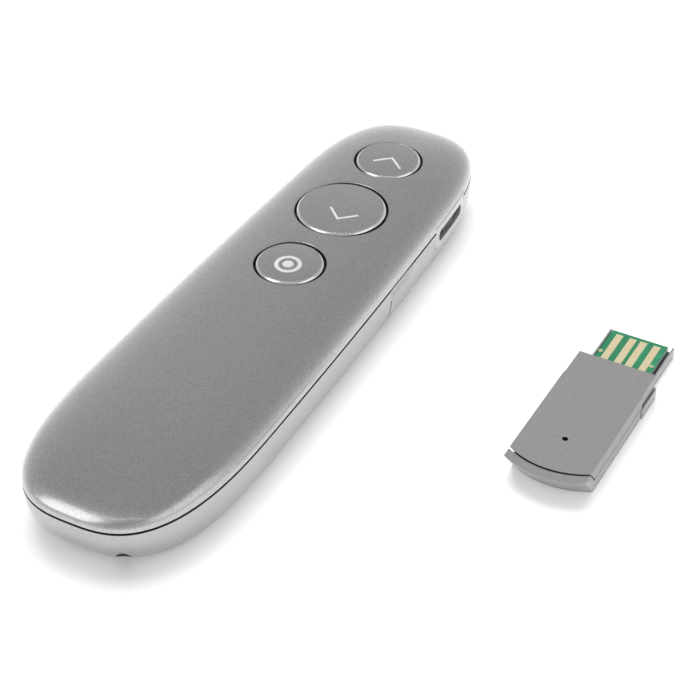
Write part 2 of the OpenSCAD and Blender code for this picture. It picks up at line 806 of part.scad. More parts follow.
// A button in the middle of its hole: domed top, bevelled rim, hollow skirt and flange
module button(y, hole_r) {
    r = hole_r - button_gap;
    top_r = r - button_bevel;
    edge_z = crown_z(y) + button_proud;
    dome_steps = 6;
    dome = [
        for (i = [0 : dome_steps])
            let (x = top_r * (1 - i / dome_steps))
            [x, edge_z + dome_h * (1 - pow(x / top_r, 2))]
    ];
    hollow_z = edge_z - button_wall;
    translate([0, y, 0])
        rotate_extrude()
            polygon(concat(
                [[0, pip_z], [plunger_r, pip_z], [plunger_r, hollow_z], [r - button_wall, hollow_z],
                    [r - button_wall, flange_z], [hole_r + flange_w, flange_z],
                    [hole_r + flange_w, flange_top_z], [r, flange_top_z], [r, edge_z - button_bevel]],
                dome));
}

module page_up_button() {
    color("#8c8d92") button(page_up_y, small_hole_r);
}

module page_down_button() {
    color("#8c8d92") button(page_down_y, large_hole_r);
}

module laser_button() {
    color("#8c8d92") button(laser_y, small_hole_r);
}

module plunger(y) {
    translate([0, y, plunger_z]) cylinder(r = plunger_r, h = plunger_top_z - plunger_z);
}

module page_up_plunger() {
    color("#2b2c2e") plunger(page_up_y);
}

module page_down_plunger() {
    color("#2b2c2e") plunger(page_down_y);
}

module laser_plunger() {
    color("#2b2c2e") plunger(laser_y);
}

module tactile_switches() {
    well = plunger_sink + button_travel + plunger_gap;
    color("#b9babd")
    for (y = button_ys)
        difference() {
            mid_box(tact_w / 2, y - tact_w / 2, board_top_z, tact_w, tact_h);
            translate([0, y, tact_top_z - well])
                cylinder(r = plunger_r + plunger_gap, h = well + over);
        }
}

module main_board() {
    color("#1f6b45")
    difference() {
        translate([0, 0, board_z])
            linear_extrude(board_t)
                polygon([[-board_neck_w, board_rear_y], [board_neck_w, board_rear_y],
                    [board_neck_w, board_wide_y], [board_half_w, board_wide_y],
                    [board_half_w, nose_y], [board_nose_w, board_front_y],
                    [-board_nose_w, board_front_y], [-board_half_w, nose_y],
                    [-board_half_w, board_wide_y], [-board_neck_w, board_wide_y]]);
        at_board_screws() translate([0, 0, board_z - over])
            cylinder(r = screw_r + seat_gap, h = board_t + 2 * over);
    }
}

module radio_chip() {
    color("#26272a")
    box([-board_half_w + chip_w / 2, nose_y - chip_w / 2, board_top_z], [chip_w, chip_w, chip_h]);
}

module crystal_can() {
    color("#c8c9cc")
    box([-board_half_w + chip_w / 2, nose_y - chip_w * 2, board_top_z],
        [crystal_len, crystal_w, chip_h]);
}

// A pan head screw that points up from its head at z = 0
module screw(len) {
    difference() {
        union() {
            cylinder(r = screw_head_r, h = screw_head_h);
            cylinder(r = screw_r, h = screw_head_h + len);
        }
        for (a = [0, 90])
            rotate([0, 0, a]) mid_box(screw_head_r * 0.6, -screw_r / 4, -eps, screw_r / 2, screw_head_h / 2);
    }
}

module board_screws() {
    color("#9a9b9e")
    at_board_screws()
        translate([0, 0, board_top_z + screw_head_h]) mirror([0, 0, 1]) screw(board_screw_len);
}

module case_screws() {
    color("#9a9b9e") {
        at_front_screws() translate([0, 0, ear_z]) screw(case_screw_len);
        at_rear_screws() translate([0, 0, arm_z]) screw(case_screw_len);
    }
}

// ---------------------------------------------------------------- power slider

// Wall between two insets of the plan outline, cut to the bezel's stretch of the right flank
module flank_band(outer, inner, y, len, z, h) {
    intersection() {
        translate([0, 0, z])
            linear_extrude(h)
                difference() {
                    polygon(plan(outer, outer, outer));
                    polygon(plan(inner, inner, inner));
                }
        box([0, y, z - over], [tail_half_w + over, len, h + 2 * over]);
    }
}

module switch_bezel() {
    color("#d6d6d4")
    difference() {
        flank_band(0, bezel_wall, bezel_y + eps, bezel_len - 2 * eps, bezel_z + eps, bezel_h - 2 * eps);
        box([0, window_y, window_z], [tail_half_w + over, window_len, window_h]);
    }
}

// Plate behind the window, a ribbed ridge in it and a fork round the switch's stem
module power_knob() {
    plate_y = window_y - knob_travel - knob_gap;
    plate_len = window_len + knob_travel + 2 * knob_gap;
    groove = knob_len / 7;
    fork_x = board_half_w + knob_gap;
    color("#3a3b3e")
    difference() {
        union() {
            box([knob_plate_x, plate_y, knob_plate_z], [knob_plate_t, plate_len, knob_plate_h]);
            box([knob_plate_x, knob_y, window_z + knob_gap],
                [knob_ridge_x - knob_plate_x, knob_len, window_h - 2 * knob_gap]);
            box([fork_x, knob_mid_y - 1.5 * stem_w, stem_z],
                [knob_plate_x - fork_x + eps, 3 * stem_w, stem_h]);
        }
        for (i = [0 : 2])
            box([knob_ridge_x - groove / 2, knob_y + groove * (1 + 2 * i), window_z],
                [groove, groove, window_h]);
        box([fork_x - eps, knob_mid_y - stem_w / 2 - seat_gap, stem_z - over],
            [knob_plate_x - fork_x - knob_gap, stem_w + 2 * seat_gap, stem_h + 2 * over]);
    }
}

module switch_case() {
    slot = stem_w + knob_travel + 2 * knob_gap;
    color("#b9babd")
    difference() {
        box([switch_x, knob_mid_y - switch_len / 2 + knob_travel / 2, board_z - switch_h],
            [switch_w, switch_len, switch_h]);
        box([switch_x + switch_w / 2, knob_mid_y - stem_w / 2 - knob_gap, stem_z - knob_gap],
            [switch_w, slot, stem_h + 2 * knob_gap]);
    }
}

module switch_stem() {
    color("#26272a")
    box([switch_x + switch_w / 2 + knob_gap, knob_mid_y - stem_w / 2, stem_z],
        [knob_plate_x - switch_x - switch_w / 2 - 3 * knob_gap, stem_w, stem_h]);
}

// ---------------------------------------------------------------- laser

module laser_barrel() {
    color("#b08d4a")
    translate([0, barrel_rear_y, laser_z])
        difference() {
            rod_y(barrel_r, barrel_len);
            translate([0, -over, 0]) rod_y(barrel_bore_r + seat_gap, barrel_len + 2 * over);
        }
}

module laser_diode() {
    color("#c8a850")
    translate([0, barrel_rear_y - diode_len / 3, laser_z]) rod_y(barrel_bore_r, diode_len);
}

module laser_lens() {
    color("#d5e2ea")
    translate([0, barrel_front_y - lens_t, laser_z]) rod_y(barrel_bore_r, lens_t);
}

module laser_window() {
    color("#5a1f22")
    translate([0, nose_window_y, laser_z]) rod_y(nose_window_r, nose_window_t);
}

// ---------------------------------------------------------------- receiver

module at_receiver() {
    translate([receiver_x, receiver_y, 0]) children();
}

// Radius of an arc with the given bow over the body's width
function bow_radius(bow, half_w) = (half_w * half_w + bow * bow) / (2 * bow);

// Block in front of a bowed face that leans back, whose corners are at -back on the table
module leaning_block(half, front, back, h) {
    r = bow_radius(receiver_bow * cos(rear_lean), receiver_w / 2);
    reach = receiver_bow + h * tan(rear_lean) + over;
    mid_box(half, -back, 0, back + front, h);
    intersection() {
        mid_box(half, -back - reach, 0, reach + over, h);
        translate([0, r / cos(rear_lean) - back - receiver_bow, 0])
            rotate([rear_lean, 0, 0]) cylinder(r = r, h = 2 * r, $fn = 160);
    }
}

module receiver_cover() {
    half = receiver_w / 2;
    roof_z = receiver_h - receiver_wall;
    color("#97989c")
    at_receiver()
        difference() {
            leaning_block(half, 0, cover_back, receiver_h);
            mid_box(receiver_w, -2 * receiver_len, -over, 3 * receiver_len, tray_side_z + over);
            mid_box(half - receiver_wall, receiver_wall - cover_back, tray_side_z - over,
                cover_back - 2 * receiver_wall, roof_z - tray_side_z + over);
            both_sides()
                box([half - shoulder_step, -shoulder_len, 0], [over, shoulder_len + over, receiver_h + over]);
            mid_box(receiver_w, -shoulder_len, tray_side_z - over, shoulder_len - receiver_wall,
                slit_h + over);
            translate([0, -indicator_back, tray_side_z]) cylinder(r = indicator_r, h = receiver_h);
        }
}

module receiver_tray() {
    half = receiver_w / 2;
    color("#c4c5c8")
    at_receiver()
        difference() {
            union() {
                leaning_block(half, 0, tray_back, tray_side_z);
                both_sides()
                    box([half - over, -shoulder_len, 0], [over + tray_step, shoulder_len, tray_side_z]);
                difference() {
                    leaning_block(half, 0, tray_back, lip_top_z);
                    translate([0, over * tan(rear_lean), -over])
                        leaning_block(half + over, over, cover_back + lip_slot, receiver_h + 2 * over);
                }
                mid_box(tongue_usb_w / 2, -over, 0, tongue_usb_len + over, tongue_usb_h);
            }
            // the trough that carries the board, open towards the tongue's end
            mid_box(tongue_usb_w / 2 - trough_wall, -receiver_wall - eps, trough_floor,
                tongue_usb_len + receiver_wall + over, receiver_h);
            mid_box(half - receiver_wall, receiver_wall - cover_back, trough_floor,
                cover_back - 2 * receiver_wall, receiver_h);
        }
}

module receiver_board() {
    color("#2f9e63")
    at_receiver()
        box([stick_shift - stick_half_w, -stick_back, stick_z],
            [2 * stick_half_w, stick_back + tongue_usb_len, stick_t]);
}

module receiver_contacts() {
    color("#e3c98f")
    at_receiver()
        for (x = [-contact_outer_x, -contact_inner_x, contact_inner_x, contact_outer_x])
            box([stick_shift + x - contact_w / 2, -receiver_wall, stick_top_z],
                [contact_w, tongue_usb_len, contact_t]);
}

module receiver_chip() {
    color("#26272a")
    at_receiver()
        box([-chip_w / 2, -shoulder_len - 2 * chip_w, stick_top_z], [chip_w, chip_w, chip_h]);
}

module receiver_crystal() {
    color("#c8c9cc")
    at_receiver()
        box([-crystal_len / 2, -shoulder_len - chip_w / 2, stick_top_z],
            [crystal_len, crystal_w, chip_h]);
}

module receiver_led() {
    color("#dfe6df")
    at_receiver()
        translate([0, -indicator_back, stick_top_z]) cylinder(r = indicator_r, h = chip_h);
}

top_cover();
bottom_housing();
battery_door();
battery_tray();
page_up_button();
page_down_button();
laser_button();
page_up_plunger();
page_down_plunger();
laser_plunger();
tactile_switches();
main_board();
radio_chip();
crystal_can();
board_screws();
case_screws();
switch_bezel();
power_knob();
switch_case();
switch_stem();
laser_barrel();
laser_diode();
laser_lens();
laser_window();
battery_left();
battery_right();
battery_springs();
front_contacts();
bridge_contact();
receiver_tray();
receiver_cover();
receiver_board();
receiver_contacts();
receiver_chip();
receiver_crystal();
receiver_led();
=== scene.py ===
# %% [markdown]
# # A presentation clicker and its receiver
# The real object is a slim hand-held remote: a glossy grey cover over a silver lower shell,
# three round keys, a small slider on the flank, and a separate plug for the computer.
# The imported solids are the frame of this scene. They could be rendered as they are, but
# their curved faces are made of few facets, so the pieces that show are made again here
# from the same numbers, finely enough to hold a reflection.

# %% Load the frame
import math

import bpy
import numpy as np
from mathutils import Matrix, Vector


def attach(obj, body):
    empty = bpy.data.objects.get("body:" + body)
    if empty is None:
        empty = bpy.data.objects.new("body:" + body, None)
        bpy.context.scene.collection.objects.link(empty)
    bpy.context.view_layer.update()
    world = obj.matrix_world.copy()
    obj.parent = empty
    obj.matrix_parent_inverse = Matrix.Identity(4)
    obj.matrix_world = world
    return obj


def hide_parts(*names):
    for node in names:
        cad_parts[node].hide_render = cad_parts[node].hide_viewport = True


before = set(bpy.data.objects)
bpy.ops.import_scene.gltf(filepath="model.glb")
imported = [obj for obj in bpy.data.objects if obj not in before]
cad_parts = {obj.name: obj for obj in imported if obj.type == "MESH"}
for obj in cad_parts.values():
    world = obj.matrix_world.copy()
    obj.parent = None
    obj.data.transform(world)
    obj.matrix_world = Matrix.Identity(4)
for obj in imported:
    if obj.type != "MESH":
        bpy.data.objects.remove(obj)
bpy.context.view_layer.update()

MM = 0.001
for name in ("Cube", "Light", "Camera"):
    if name in bpy.data.objects:
        bpy.data.objects.remove(bpy.data.objects[name])

# %% [markdown]
# ## Shader maths that reads as a formula
# A finish is a graph of nodes. It could be drawn by hand, or typed as dozens of links.
# Here one class wraps a socket and takes over + - * and >, so that a formula
# written in Python adds its own Math nodes, and one method makes any other node.

# %% A wire and a finish
class Wire:
    """A number on its way through a finish; every operator adds one Math node."""

    def __init__(self, finish, socket):
        self.finish, self.socket = finish, socket

    def math(self, operation, first, second):
        return self.finish.node("Math", {"operation": operation}, {0: first, 1: second})

    def __add__(self, other): return self.math("ADD", self, other)
    def __radd__(self, other): return self.math("ADD", other, self)
    def __sub__(self, other): return self.math("SUBTRACT", self, other)
    def __mul__(self, other): return self.math("MULTIPLY", self, other)
    def __gt__(self, other): return self.math("GREATER_THAN", self, other)


class Finish:
    """A material in the making: node() adds a node, sets it up, then fills its sockets."""

    def __init__(self, name, store=bpy.data.materials):
        self.material = store.new(name)
        self.material.use_nodes = True
        self.tree = self.material.node_tree
        self.tree.nodes.clear()

    def node(self, kind, settings=None, values=None, out=0):
        made = self.tree.nodes.new("ShaderNode" + kind)
        for key, value in (settings or {}).items():
            if key == "stops":
                ramp = made.color_ramp
                while len(ramp.elements) < len(value):
                    ramp.elements.new(1)
                for stop, (place, colour) in zip(ramp.elements, value):
                    stop.position, stop.color = place, colour
            else:
                setattr(made, key, value)
        for key, value in (values or {}).items():
            if isinstance(value, Wire):
                self.tree.links.new(value.socket, made.inputs[key])
            else:
                made.inputs[key].default_value = value
        return Wire(self, made.outputs[out])

    def place(self):
        """Where a point lies on the piece, in metres, in the frame of the whole object."""
        return self.node("TexCoord", out="Object")

    def noise(self, size_mm, detail=2.0, stretch=None):
        """Soft noise between 0 and 1 with lumps of about the given size, drawn out along
        the axes whose stretch factor is small."""
        where = self.place()
        if stretch:
            where = self.node("Mapping", None, {"Vector": where, "Scale": stretch})
        return self.node("TexNoise", None, {"Vector": where, "Scale": 1000 / size_mm, "Detail": detail})

    def speck(self, size_mm):
        """A number between 0 and 1 for each tiny cell: one grain of pigment or one flake."""
        cell = self.node("TexVoronoi", None, {"Vector": self.place(), "Scale": 1000 / size_mm}, "Color")
        return self.node("SeparateColor", None, {"Color": cell}, "Red")

    def blend(self, factor, first, second):
        """A colour between two colours."""
        return self.node("Mix", {"data_type": "RGBA"}, {0: factor, 6: first, 7: second}, 2)

    def relief(self, height, depth_mm, strength=1.0):
        """A bumped normal, from a height between 0 and 1 and the depth it stands for."""
        values = {"Height": height, "Distance": depth_mm * MM, "Strength": strength}
        return self.node("Bump", None, values)

    def end(self, shader, kind="Material"):
        """Leads a shader to the output and returns the material."""
        self.tree.links.new(shader.socket, self.tree.nodes.new("ShaderNodeOutput" + kind).inputs[0])
        return self.material

    def surface(self, **values):
        """Ends the finish with a Principled shader, whose sockets are named in lower case."""
        named = {key.replace("_", " ").title().replace("Ior", "IOR"): value
                 for key, value in values.items()}
        return self.end(self.node("BsdfPrincipled", None, named))


def grey(level, warm=0.0):
    """A near-neutral colour: warm lifts the red and lowers the blue."""
    return (level * (1 + warm), level, level * (1 - warm), 1)


print("Wire and Finish are ready")

# %% [markdown]
# ## Grids sewn into skins
# Every new piece is a closed skin. It could be pushed and pulled by hand, but a maker draws
# it from sections and paths, so here each face is a grid of points worked out by numpy.
# Grids whose edges fall together are welded into one mesh, and an edge stays crisp only
# where two faces meet at a real angle.

# %% The skin
# Points in the same small cube are welded; the shift keeps round numbers off its faces
WELD, WELD_SHIFT = 2e-4, 0.37
CRISP = math.radians(32)


def put(name, data):
    """A new object in the scene that shows the given mesh, camera or lamp."""
    item = bpy.data.objects.new(name, data)
    bpy.context.scene.collection.objects.link(item)
    return item


def xyz(x, y, z):
    """Points from their coordinates, each given for every point, for a row or for all."""
    return np.stack(np.broadcast_arrays(x, y, z), -1)


class Skin:
    """Grids of points in millimetres, sewn into one mesh in metres."""

    def __init__(self):
        self.points, self.normals, self.quads, self.finishes, self.panels = [], [], [], [], []
        self.count = 0

    def add(self, points, quads, finish, normals=None, flip=False):
        """Keeps points, their normals and the faces between them; flip turns the faces round."""
        self.points.append(points)
        self.normals.append(np.zeros((len(points), 3)) if normals is None else normals)
        self.quads.append(quads[:, ::-1] if flip else quads)
        self.finishes.append(np.full(len(quads), finish))
        self.count += len(points)
        return self

    def grid(self, points, normals=None, flip=False, finish=0, keep=slice(None)):
        """Adds rows by columns of points. Rows that run down the outside, with columns that
        run anticlockwise seen from above, face outwards; keep is a table of the faces that
        stay."""
        index = self.count + np.arange(points[..., 0].size).reshape(points.shape[:2])
        quads = np.stack([index[:-1, :-1], index[1:, :-1], index[1:, 1:], index[:-1, 1:]], -1)
        normals = None if normals is None else normals.reshape(-1, 3)
        return self.add(points.reshape(-1, 3), quads[keep].reshape(-1, 4), finish, normals, flip)

    def join(self, first, second, finish=0, flip=False):
        """Adds one strip of faces from a row down to the next."""
        return self.grid(np.stack([first, second]), flip=flip, finish=finish)

    def wrap(self, outer, inner, finish=0, loop=False):
        """Closes two grids of equal count into a slab: the outer one, the inner one turned
        round, and a strip along each border. In a loop the columns already meet."""
        self.grid(outer, finish=finish).grid(inner, flip=True, finish=finish)
        self.join(inner[0], outer[0], finish).join(outer[-1], inner[-1], finish)
        if not loop:
            self.grid(np.stack([inner[:, 0], outer[:, 0]], 1), finish=finish)
            self.grid(np.stack([outer[:, -1], inner[:, -1]], 1), finish=finish)
        return self

    def zip(self, ring_a, ring_b, flip=False, finish=0):
        """Joins two closed rings round the second one's middle that have different counts.
        All points are put in order of angle, and each makes a triangle with the one before
        it on its own ring and the last one met on the other. From outer to inner it faces up."""
        centre = ring_b[:, :2].mean(0)
        rings = (ring_a[:-1], ring_b[:-1])
        turn = [np.mod(np.arctan2(r[:, 0] - centre[0], centre[1] - r[:, 1]), 2 * np.pi - 1e-9)
                for r in rings]
        order = np.argsort(np.concatenate(turn), kind="stable")
        from_a = order < len(rings[0])
        met_a, met_b = np.cumsum(from_a) - 1, np.cumsum(~from_a) - 1
        size_a, size_b = len(rings[0]), len(rings[1])
        by_a, by_b = np.argsort(turn[0], kind="stable"), np.argsort(turn[1], kind="stable")
        a_now, a_last = by_a[met_a % size_a], by_a[(met_a - 1) % size_a]
        b_now, b_last = by_b[met_b % size_b] + size_a, by_b[(met_b - 1) % size_b] + size_a
        new, last = np.where(from_a, (a_now, a_last), (b_now, b_last))
        other = np.where(from_a, b_now, a_now)
        turned = np.where(from_a[:, None], np.stack([last, new, other, other], 1),
                          np.stack([new, last, other, other], 1))
        return self.add(np.concatenate(rings), self.count + turned, finish, flip=flip)

    def panel(self, points, finish=0):
        """Adds one flat face with any number of corners."""
        self.panels.append((self.count + np.arange(len(points)), finish))
        return self.add(np.asarray(points, float), np.empty((0, 4), int), finish)

    def block(self, low, high, finish=0):
        """Adds a closed box between two corners."""
        (x0, y0, z0), (x1, y1, z1) = low, high
        loop = [[x0, y0], [x1, y0], [x1, y1], [x0, y1], [x0, y0]]
        top, foot = (np.c_[loop, np.full(5, z)] for z in (z1, z0))
        return self.join(top, foot, finish).panel(top[:4], finish).panel(foot[3::-1], finish)

    def turned(self, profile, centre=(0, 0, 0), steps=48, finish=0, along="z"):
        """Adds a turned form: the profile's radius and height, carried round an axis.
        The profile runs from the top of the axis outwards and down."""
        angle = np.linspace(0, 2 * np.pi, steps + 1)
        angle[-1] = 0
        r, h = np.asarray(profile, float).T[..., None]
        ring = xyz(r * np.cos(angle), r * np.sin(angle), h)
        if along == "y":
            ring = ring[..., [0, 2, 1]] * (-1, 1, 1)
        return self.grid(ring + centre, finish=finish)

    def mesh(self, name):
        """Welds the grids, turns quads that close to a point into triangles, and makes the mesh."""
        points, normals = np.concatenate(self.points), np.concatenate(self.normals)
        keys = np.floor(points / WELD + WELD_SHIFT).astype(np.int64)
        _, first, weld = np.unique(keys, axis=0, return_index=True, return_inverse=True)
        weld = weld.reshape(-1)
        quads, finishes = np.concatenate(self.quads), np.concatenate(self.finishes)
        corner = weld[quads]
        same = corner == np.roll(corner, -1, axis=1)
        whole = (same.sum(1) == 0) & (corner[:, 0] != corner[:, 2]) & (corner[:, 1] != corner[:, 3])
        pinched = same.sum(1) == 1
        order = (np.argmax(same[pinched], 1)[:, None] + np.arange(1, 4)) % 4
        triangles = np.take_along_axis(quads[pinched], order, 1)
        triangles = triangles[weld[triangles[:, 0]] != weld[triangles[:, 2]]]
        flats = [f[weld[f] != weld[np.roll(f, 1)]] for f, _ in self.panels]
        faces = quads[whole].tolist() + triangles.tolist() + [f.tolist() for f in flats]
        marks = np.concatenate([finishes[whole], finishes[pinched][:len(triangles)],
                                np.array([m for _, m in self.panels], int)]).astype(int)
        made = bpy.data.meshes.new(name)
        made.from_pydata((points[first] * MM).tolist(), [], [weld[f].tolist() for f in faces])
        made.polygons.foreach_set("material_index", marks)
        made.polygons.foreach_set("use_smooth", np.ones(len(faces), bool))
        return made, normals[np.concatenate(faces)]

    def piece(self, name, body, materials, slot, node="", soften=0.0, crisp=CRISP):
        """Makes the object, gives it its finishes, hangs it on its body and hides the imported
        node that it replaces."""
        made, own = self.mesh(name)
        item = put(name, made)
        for material in materials:
            made.materials.append(material)
        if soften:
            edge = item.modifiers.new("softened edges", "BEVEL")
            edge.width, edge.segments, edge.harden_normals = soften * MM, 3, True
            edge.limit_method, edge.angle_limit = "ANGLE", CRISP
        else:
            made.set_sharp_from_angle(angle=crisp)
        if np.any(own):
            made.normals_split_custom_set(own.tolist())
        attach(item, body)
        if node:
            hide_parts(node)
        print(f"{name}: {len(made.polygons)} faces, {len(made.vertices)} points, "
              f"volume {volume(made):.1f} mm3, open edges {open_edges(made)}")


def volume(made):
    """The volume inside a closed mesh: the sum of the signed tetrahedra to the origin."""
    made.calc_loop_triangles()
    corner = np.empty(len(made.loop_triangles) * 3, int)
    made.loop_triangles.foreach_get("vertices", corner)
    place = np.empty(len(made.vertices) * 3)
    made.vertices.foreach_get("co", place)
    a, b, c = np.moveaxis(place.reshape(-1, 3)[corner.reshape(-1, 3)], 1, 0)
    return float((a * np.cross(b, c)).sum() / 6) * 1e9


def open_edges(made):
    """How many edges don't lie between exactly two faces: nought on a closed skin."""
    pair = np.empty(len(made.loops), int)
    made.loops.foreach_get("edge_index", pair)
    return int((np.bincount(pair, minlength=len(made.edges)) != 2).sum())


print("the weld joins points in cubes of", WELD, "mm")

# %% [markdown]
# ## The body's plan and its profile
# Cover and lower shell share one plan: two squarish caps joined by a gently tapered flank.
# It could be traced as a curve, but a formula keeps both shells in step at every height.
# One number walks round it anticlockwise: 0 at the tail's tip, 1 and 2 where the right
# flank meets the caps, 3 at the nose's tip, and so back down the left side to 6.

# %% Plan of the body
TAIL_Y, NOSE_Y = -28.5, 36.5
TAIL_CAP, NOSE_CAP = 33.3, 25.3
TAIL_POWER, NOSE_POWER = 2.9, 2.95
TAIL_HALF, NOSE_HALF, BELLY = 17.187, 15.55, 0.3
COVER_EDGE, COVER_TOP, CROWN_POWER = 9.05, 13.9, 2.5
SHELL_EDGE, BASE_POWER = 8.68, 2.4
BASE_SIDE, BASE_TAIL, BASE_NOSE = 3.4, 8.6, 8.0
WALL, FLOOR = 1.4, 1.2


def half_width(y):
    """Half the width of the flanks: a straight taper from tail to nose, and a small belly
    that is four times its height times the share of the way times the rest of the way."""
    m = (NOSE_Y - y) / (NOSE_Y - TAIL_Y)
    return NOSE_HALF + (TAIL_HALF - NOSE_HALF) * m + 4 * BELLY * m * (1 - m)


def cap_of(at_nose):
    """Centre, reach and power of the nose's cap or of the tail's."""
    return [np.where(at_nose, *pair) for pair in (
        (NOSE_Y, TAIL_Y), (NOSE_CAP, TAIL_CAP), (NOSE_POWER, TAIL_POWER))]


def outline(walk, inset=0.0, scale=1.0, draft=0.0):
    """The plan drawn in by an inset and by a share of the base's draft, and scaled about the
    caps' centres. A cap is a squarish quarter circle on each side: the direction divided by
    the root of its summed powers, times the flank's half width and the cap's reach."""
    walk, inset, scale, draft = np.broadcast_arrays(np.mod(walk, 6.0), inset, scale, draft)
    v = np.where(walk < 3, walk - 1, 5 - walk)
    centre, cap, power = cap_of(v > 0.5)
    turn = np.minimum(v, 0) + np.maximum(v - 1, 0)
    c, s = np.cos(turn * np.pi / 2), np.sin(turn * np.pi / 2)
    size = (np.abs(c) ** power + np.abs(s) ** power) ** (1 / power)
    reach = cap - (inset + draft * np.where(v > 0.5, BASE_NOSE, BASE_TAIL))
    full_y = np.where(turn == 0, TAIL_Y + (NOSE_Y - TAIL_Y) * v, centre + reach * (s / size))
    side = np.where(walk < 3, scale, -scale)
    x = (half_width(full_y) - (inset + draft * BASE_SIDE)) * side * (c / size)
    return x, np.where(turn == 0, full_y, centre + scale * (full_y - centre))


def walk_at(y, inset=0.0, scale=1.0):
    """The walk on the right side that reaches a given y: the outline turned round."""
    y = np.asarray(y, float)
    centre, cap, power = cap_of(y > 0)
    way = np.where(y > 0, 1, -1)
    rise = np.clip((y - centre) * way / scale / (cap - inset), 0, 1)
    turn = np.arctan2(rise, (1 - rise ** power) ** (1 / power)) / (np.pi / 2)
    return 1 + np.where(rise > 0, (y > 0) + way * turn, (y - TAIL_Y) / (NOSE_Y - TAIL_Y))


def crown_share(x, y, inset=0.0):
    """How far out a point of the plan lies, 0 on the spine and 1 at the edge. On a flank it
    is x over the half width; in a cap it is the root of the summed powers of x over the half
    width and of y over the cap's reach, and settles in a few rounds as the width varies."""
    centre, cap, power = cap_of(y > 0)
    along = np.maximum((y - centre) * np.where(y > 0, 1, -1), 0) / (cap - inset)
    full_y = centre
    for _ in range(13):
        share = ((np.abs(x) / (half_width(full_y) - inset)) ** power + along ** power) ** (1 / power)
        full_y = centre + np.clip((y - centre) / np.maximum(share, 1e-9), -TAIL_CAP, NOSE_CAP)
    return np.where(along > 0, share, np.abs(x) / (half_width(y) - inset))


def crown_height(share, top=COVER_TOP):
    """Height of the crown where its share is known: a squarish quarter round."""
    rise = np.maximum(1 - np.minimum(share, 1) ** CROWN_POWER, 0)
    return COVER_EDGE + (top - COVER_EDGE) * rise ** (1 / CROWN_POWER)


def crown_normal(points, inset=0.0, top=COVER_TOP):
    """The direction in which share to a power plus height to a power grows fastest."""
    x, y, z = np.moveaxis(points, -1, 0)
    step = 1e-3
    share = np.maximum(crown_share(x, y, inset), 1e-6)
    level = np.clip((z - COVER_EDGE) / (top - COVER_EDGE), 0, 1)
    dx = (crown_share(x + step, y, inset) - crown_share(x - step, y, inset)) / (2 * step)
    dy = (crown_share(x, y + step, inset) - crown_share(x, y - step, inset)) / (2 * step)
    slope = share ** (CROWN_POWER - 1)
    normal = np.stack([slope * dx, slope * dy, level ** (CROWN_POWER - 1) / (top - COVER_EDGE)], -1)
    return normal / np.maximum(np.linalg.norm(normal, axis=-1, keepdims=True), 1e-12)


plan_x, plan_y = outline(np.linspace(0, 6, 601))
print("plan", plan_x.min().round(2), plan_x.max().round(2), plan_y.min().round(2), plan_y.max().round(2))

# %% [markdown]
# ## The paints
# The cover is moulded plastic with a metallic paint under clear lacquer: a grey base, tiny
# flakes that each catch the light a little differently, and a smooth coat on top. The lower
# shell has a finer, satin silver. Both are solid plastic inside, and the inside faces keep
# the bare dark plastic. Where they show, in the parting groove under the cover's edge, that
# dark grey is painted shade that keeps the groove dark. Noise could give the sparkle, but
# cells of one size look more like flakes, so a cell pattern varies the colour and tilts the
# normal a little.

# %% Paint recipes
SPREAD = 0.38


def flake_paint(name, level, warm, flake_mm, sparkle, metallic, roughness,
                coat, coat_roughness, relief_mm):
    """A metallic paint: base grey, flakes that differ in brightness and tilt, and a lacquer."""
    paint = Finish(name)
    flake = paint.speck(flake_mm)
    cloud = paint.noise(14, 3)
    dust = paint.noise(0.35, 2)
    shade = (flake - 0.5) * sparkle + (cloud - 0.5) * 0.05 + 0.5
    colour = paint.blend(shade, grey(level * (1 - SPREAD), warm), grey(level * (1 + SPREAD), warm))
    worn = roughness + (paint.noise(22, 4) - 0.5) * 0.06 + (dust - 0.5) * 0.05
    return paint.surface(base_color=colour, metallic=metallic, roughness=worn,
                         coat_weight=coat, coat_roughness=coat_roughness,
                         normal=paint.relief(flake, relief_mm, 0.35))


# Grey level, warmth, flake mm, sparkle, metallic, roughness, coat, coat's roughness, relief mm
cover_paint, key_paint, rim_paint_with_painted_highlight, shell_paint, bezel_paint, plug_paint, plug_silver = (
    flake_paint(*recipe) for recipe in (
        ("cover paint", 0.43, 0.0, 0.16, 0.42, 0.92, 0.29, 1.0, 0.03, 0.0026),
        ("key paint", 0.43, 0.0, 0.16, 0.36, 0.92, 0.31, 1.0, 0.09, 0.001),
        # The rim is the key paint made smoother and lighter: the lighter grey is painted highlight on
        # the bevel
        ("polished rim", 0.62, 0.0, 0.2, 0.06, 0.95, 0.22, 1.0, 0.05, 0.0),
        ("shell silver", 0.495, 0.012, 0.12, 0.22, 0.6, 0.34, 0.35, 0.12, 0.003),
        ("bezel silver", 0.54, 0.01, 0.12, 0.18, 0.6, 0.30, 0.5, 0.12, 0.003),
        ("plug matt grey", 0.41, 0.0, 0.10, 0.40, 0.55, 0.55, 0.0, 0.3, 0.006),
        ("plug silver", 0.47, 0.0, 0.10, 0.20, 0.6, 0.45, 0.0, 0.2, 0.004)))
print("seven paints are mixed")

# %% [markdown]
# The small parts are plain plastic and bare metal. A flat colour would make them look like
# paper, so plastic gets a fine grain, and metal gets lines along the way it was worked.

# %% Bare plastics and metals
def tint(colour, gain):
    """A colour made darker or lighter, but no brighter than white."""
    return (*(min(c * gain, 1) for c in colour[:3]), 1)


def bare_plastic(name, colour, roughness, grain_mm, depth_mm):
    """Moulded plastic: one colour with a fine spark-eroded grain and handling marks."""
    made = Finish(name)
    grain = made.noise(grain_mm, 3)
    marks = made.noise(6, 4)
    return made.surface(base_color=made.blend(marks, tint(colour, 0.8), tint(colour, 1.2)),
                        roughness=roughness + (marks - 0.5) * 0.16,
                        normal=made.relief(grain, depth_mm, 0.6))


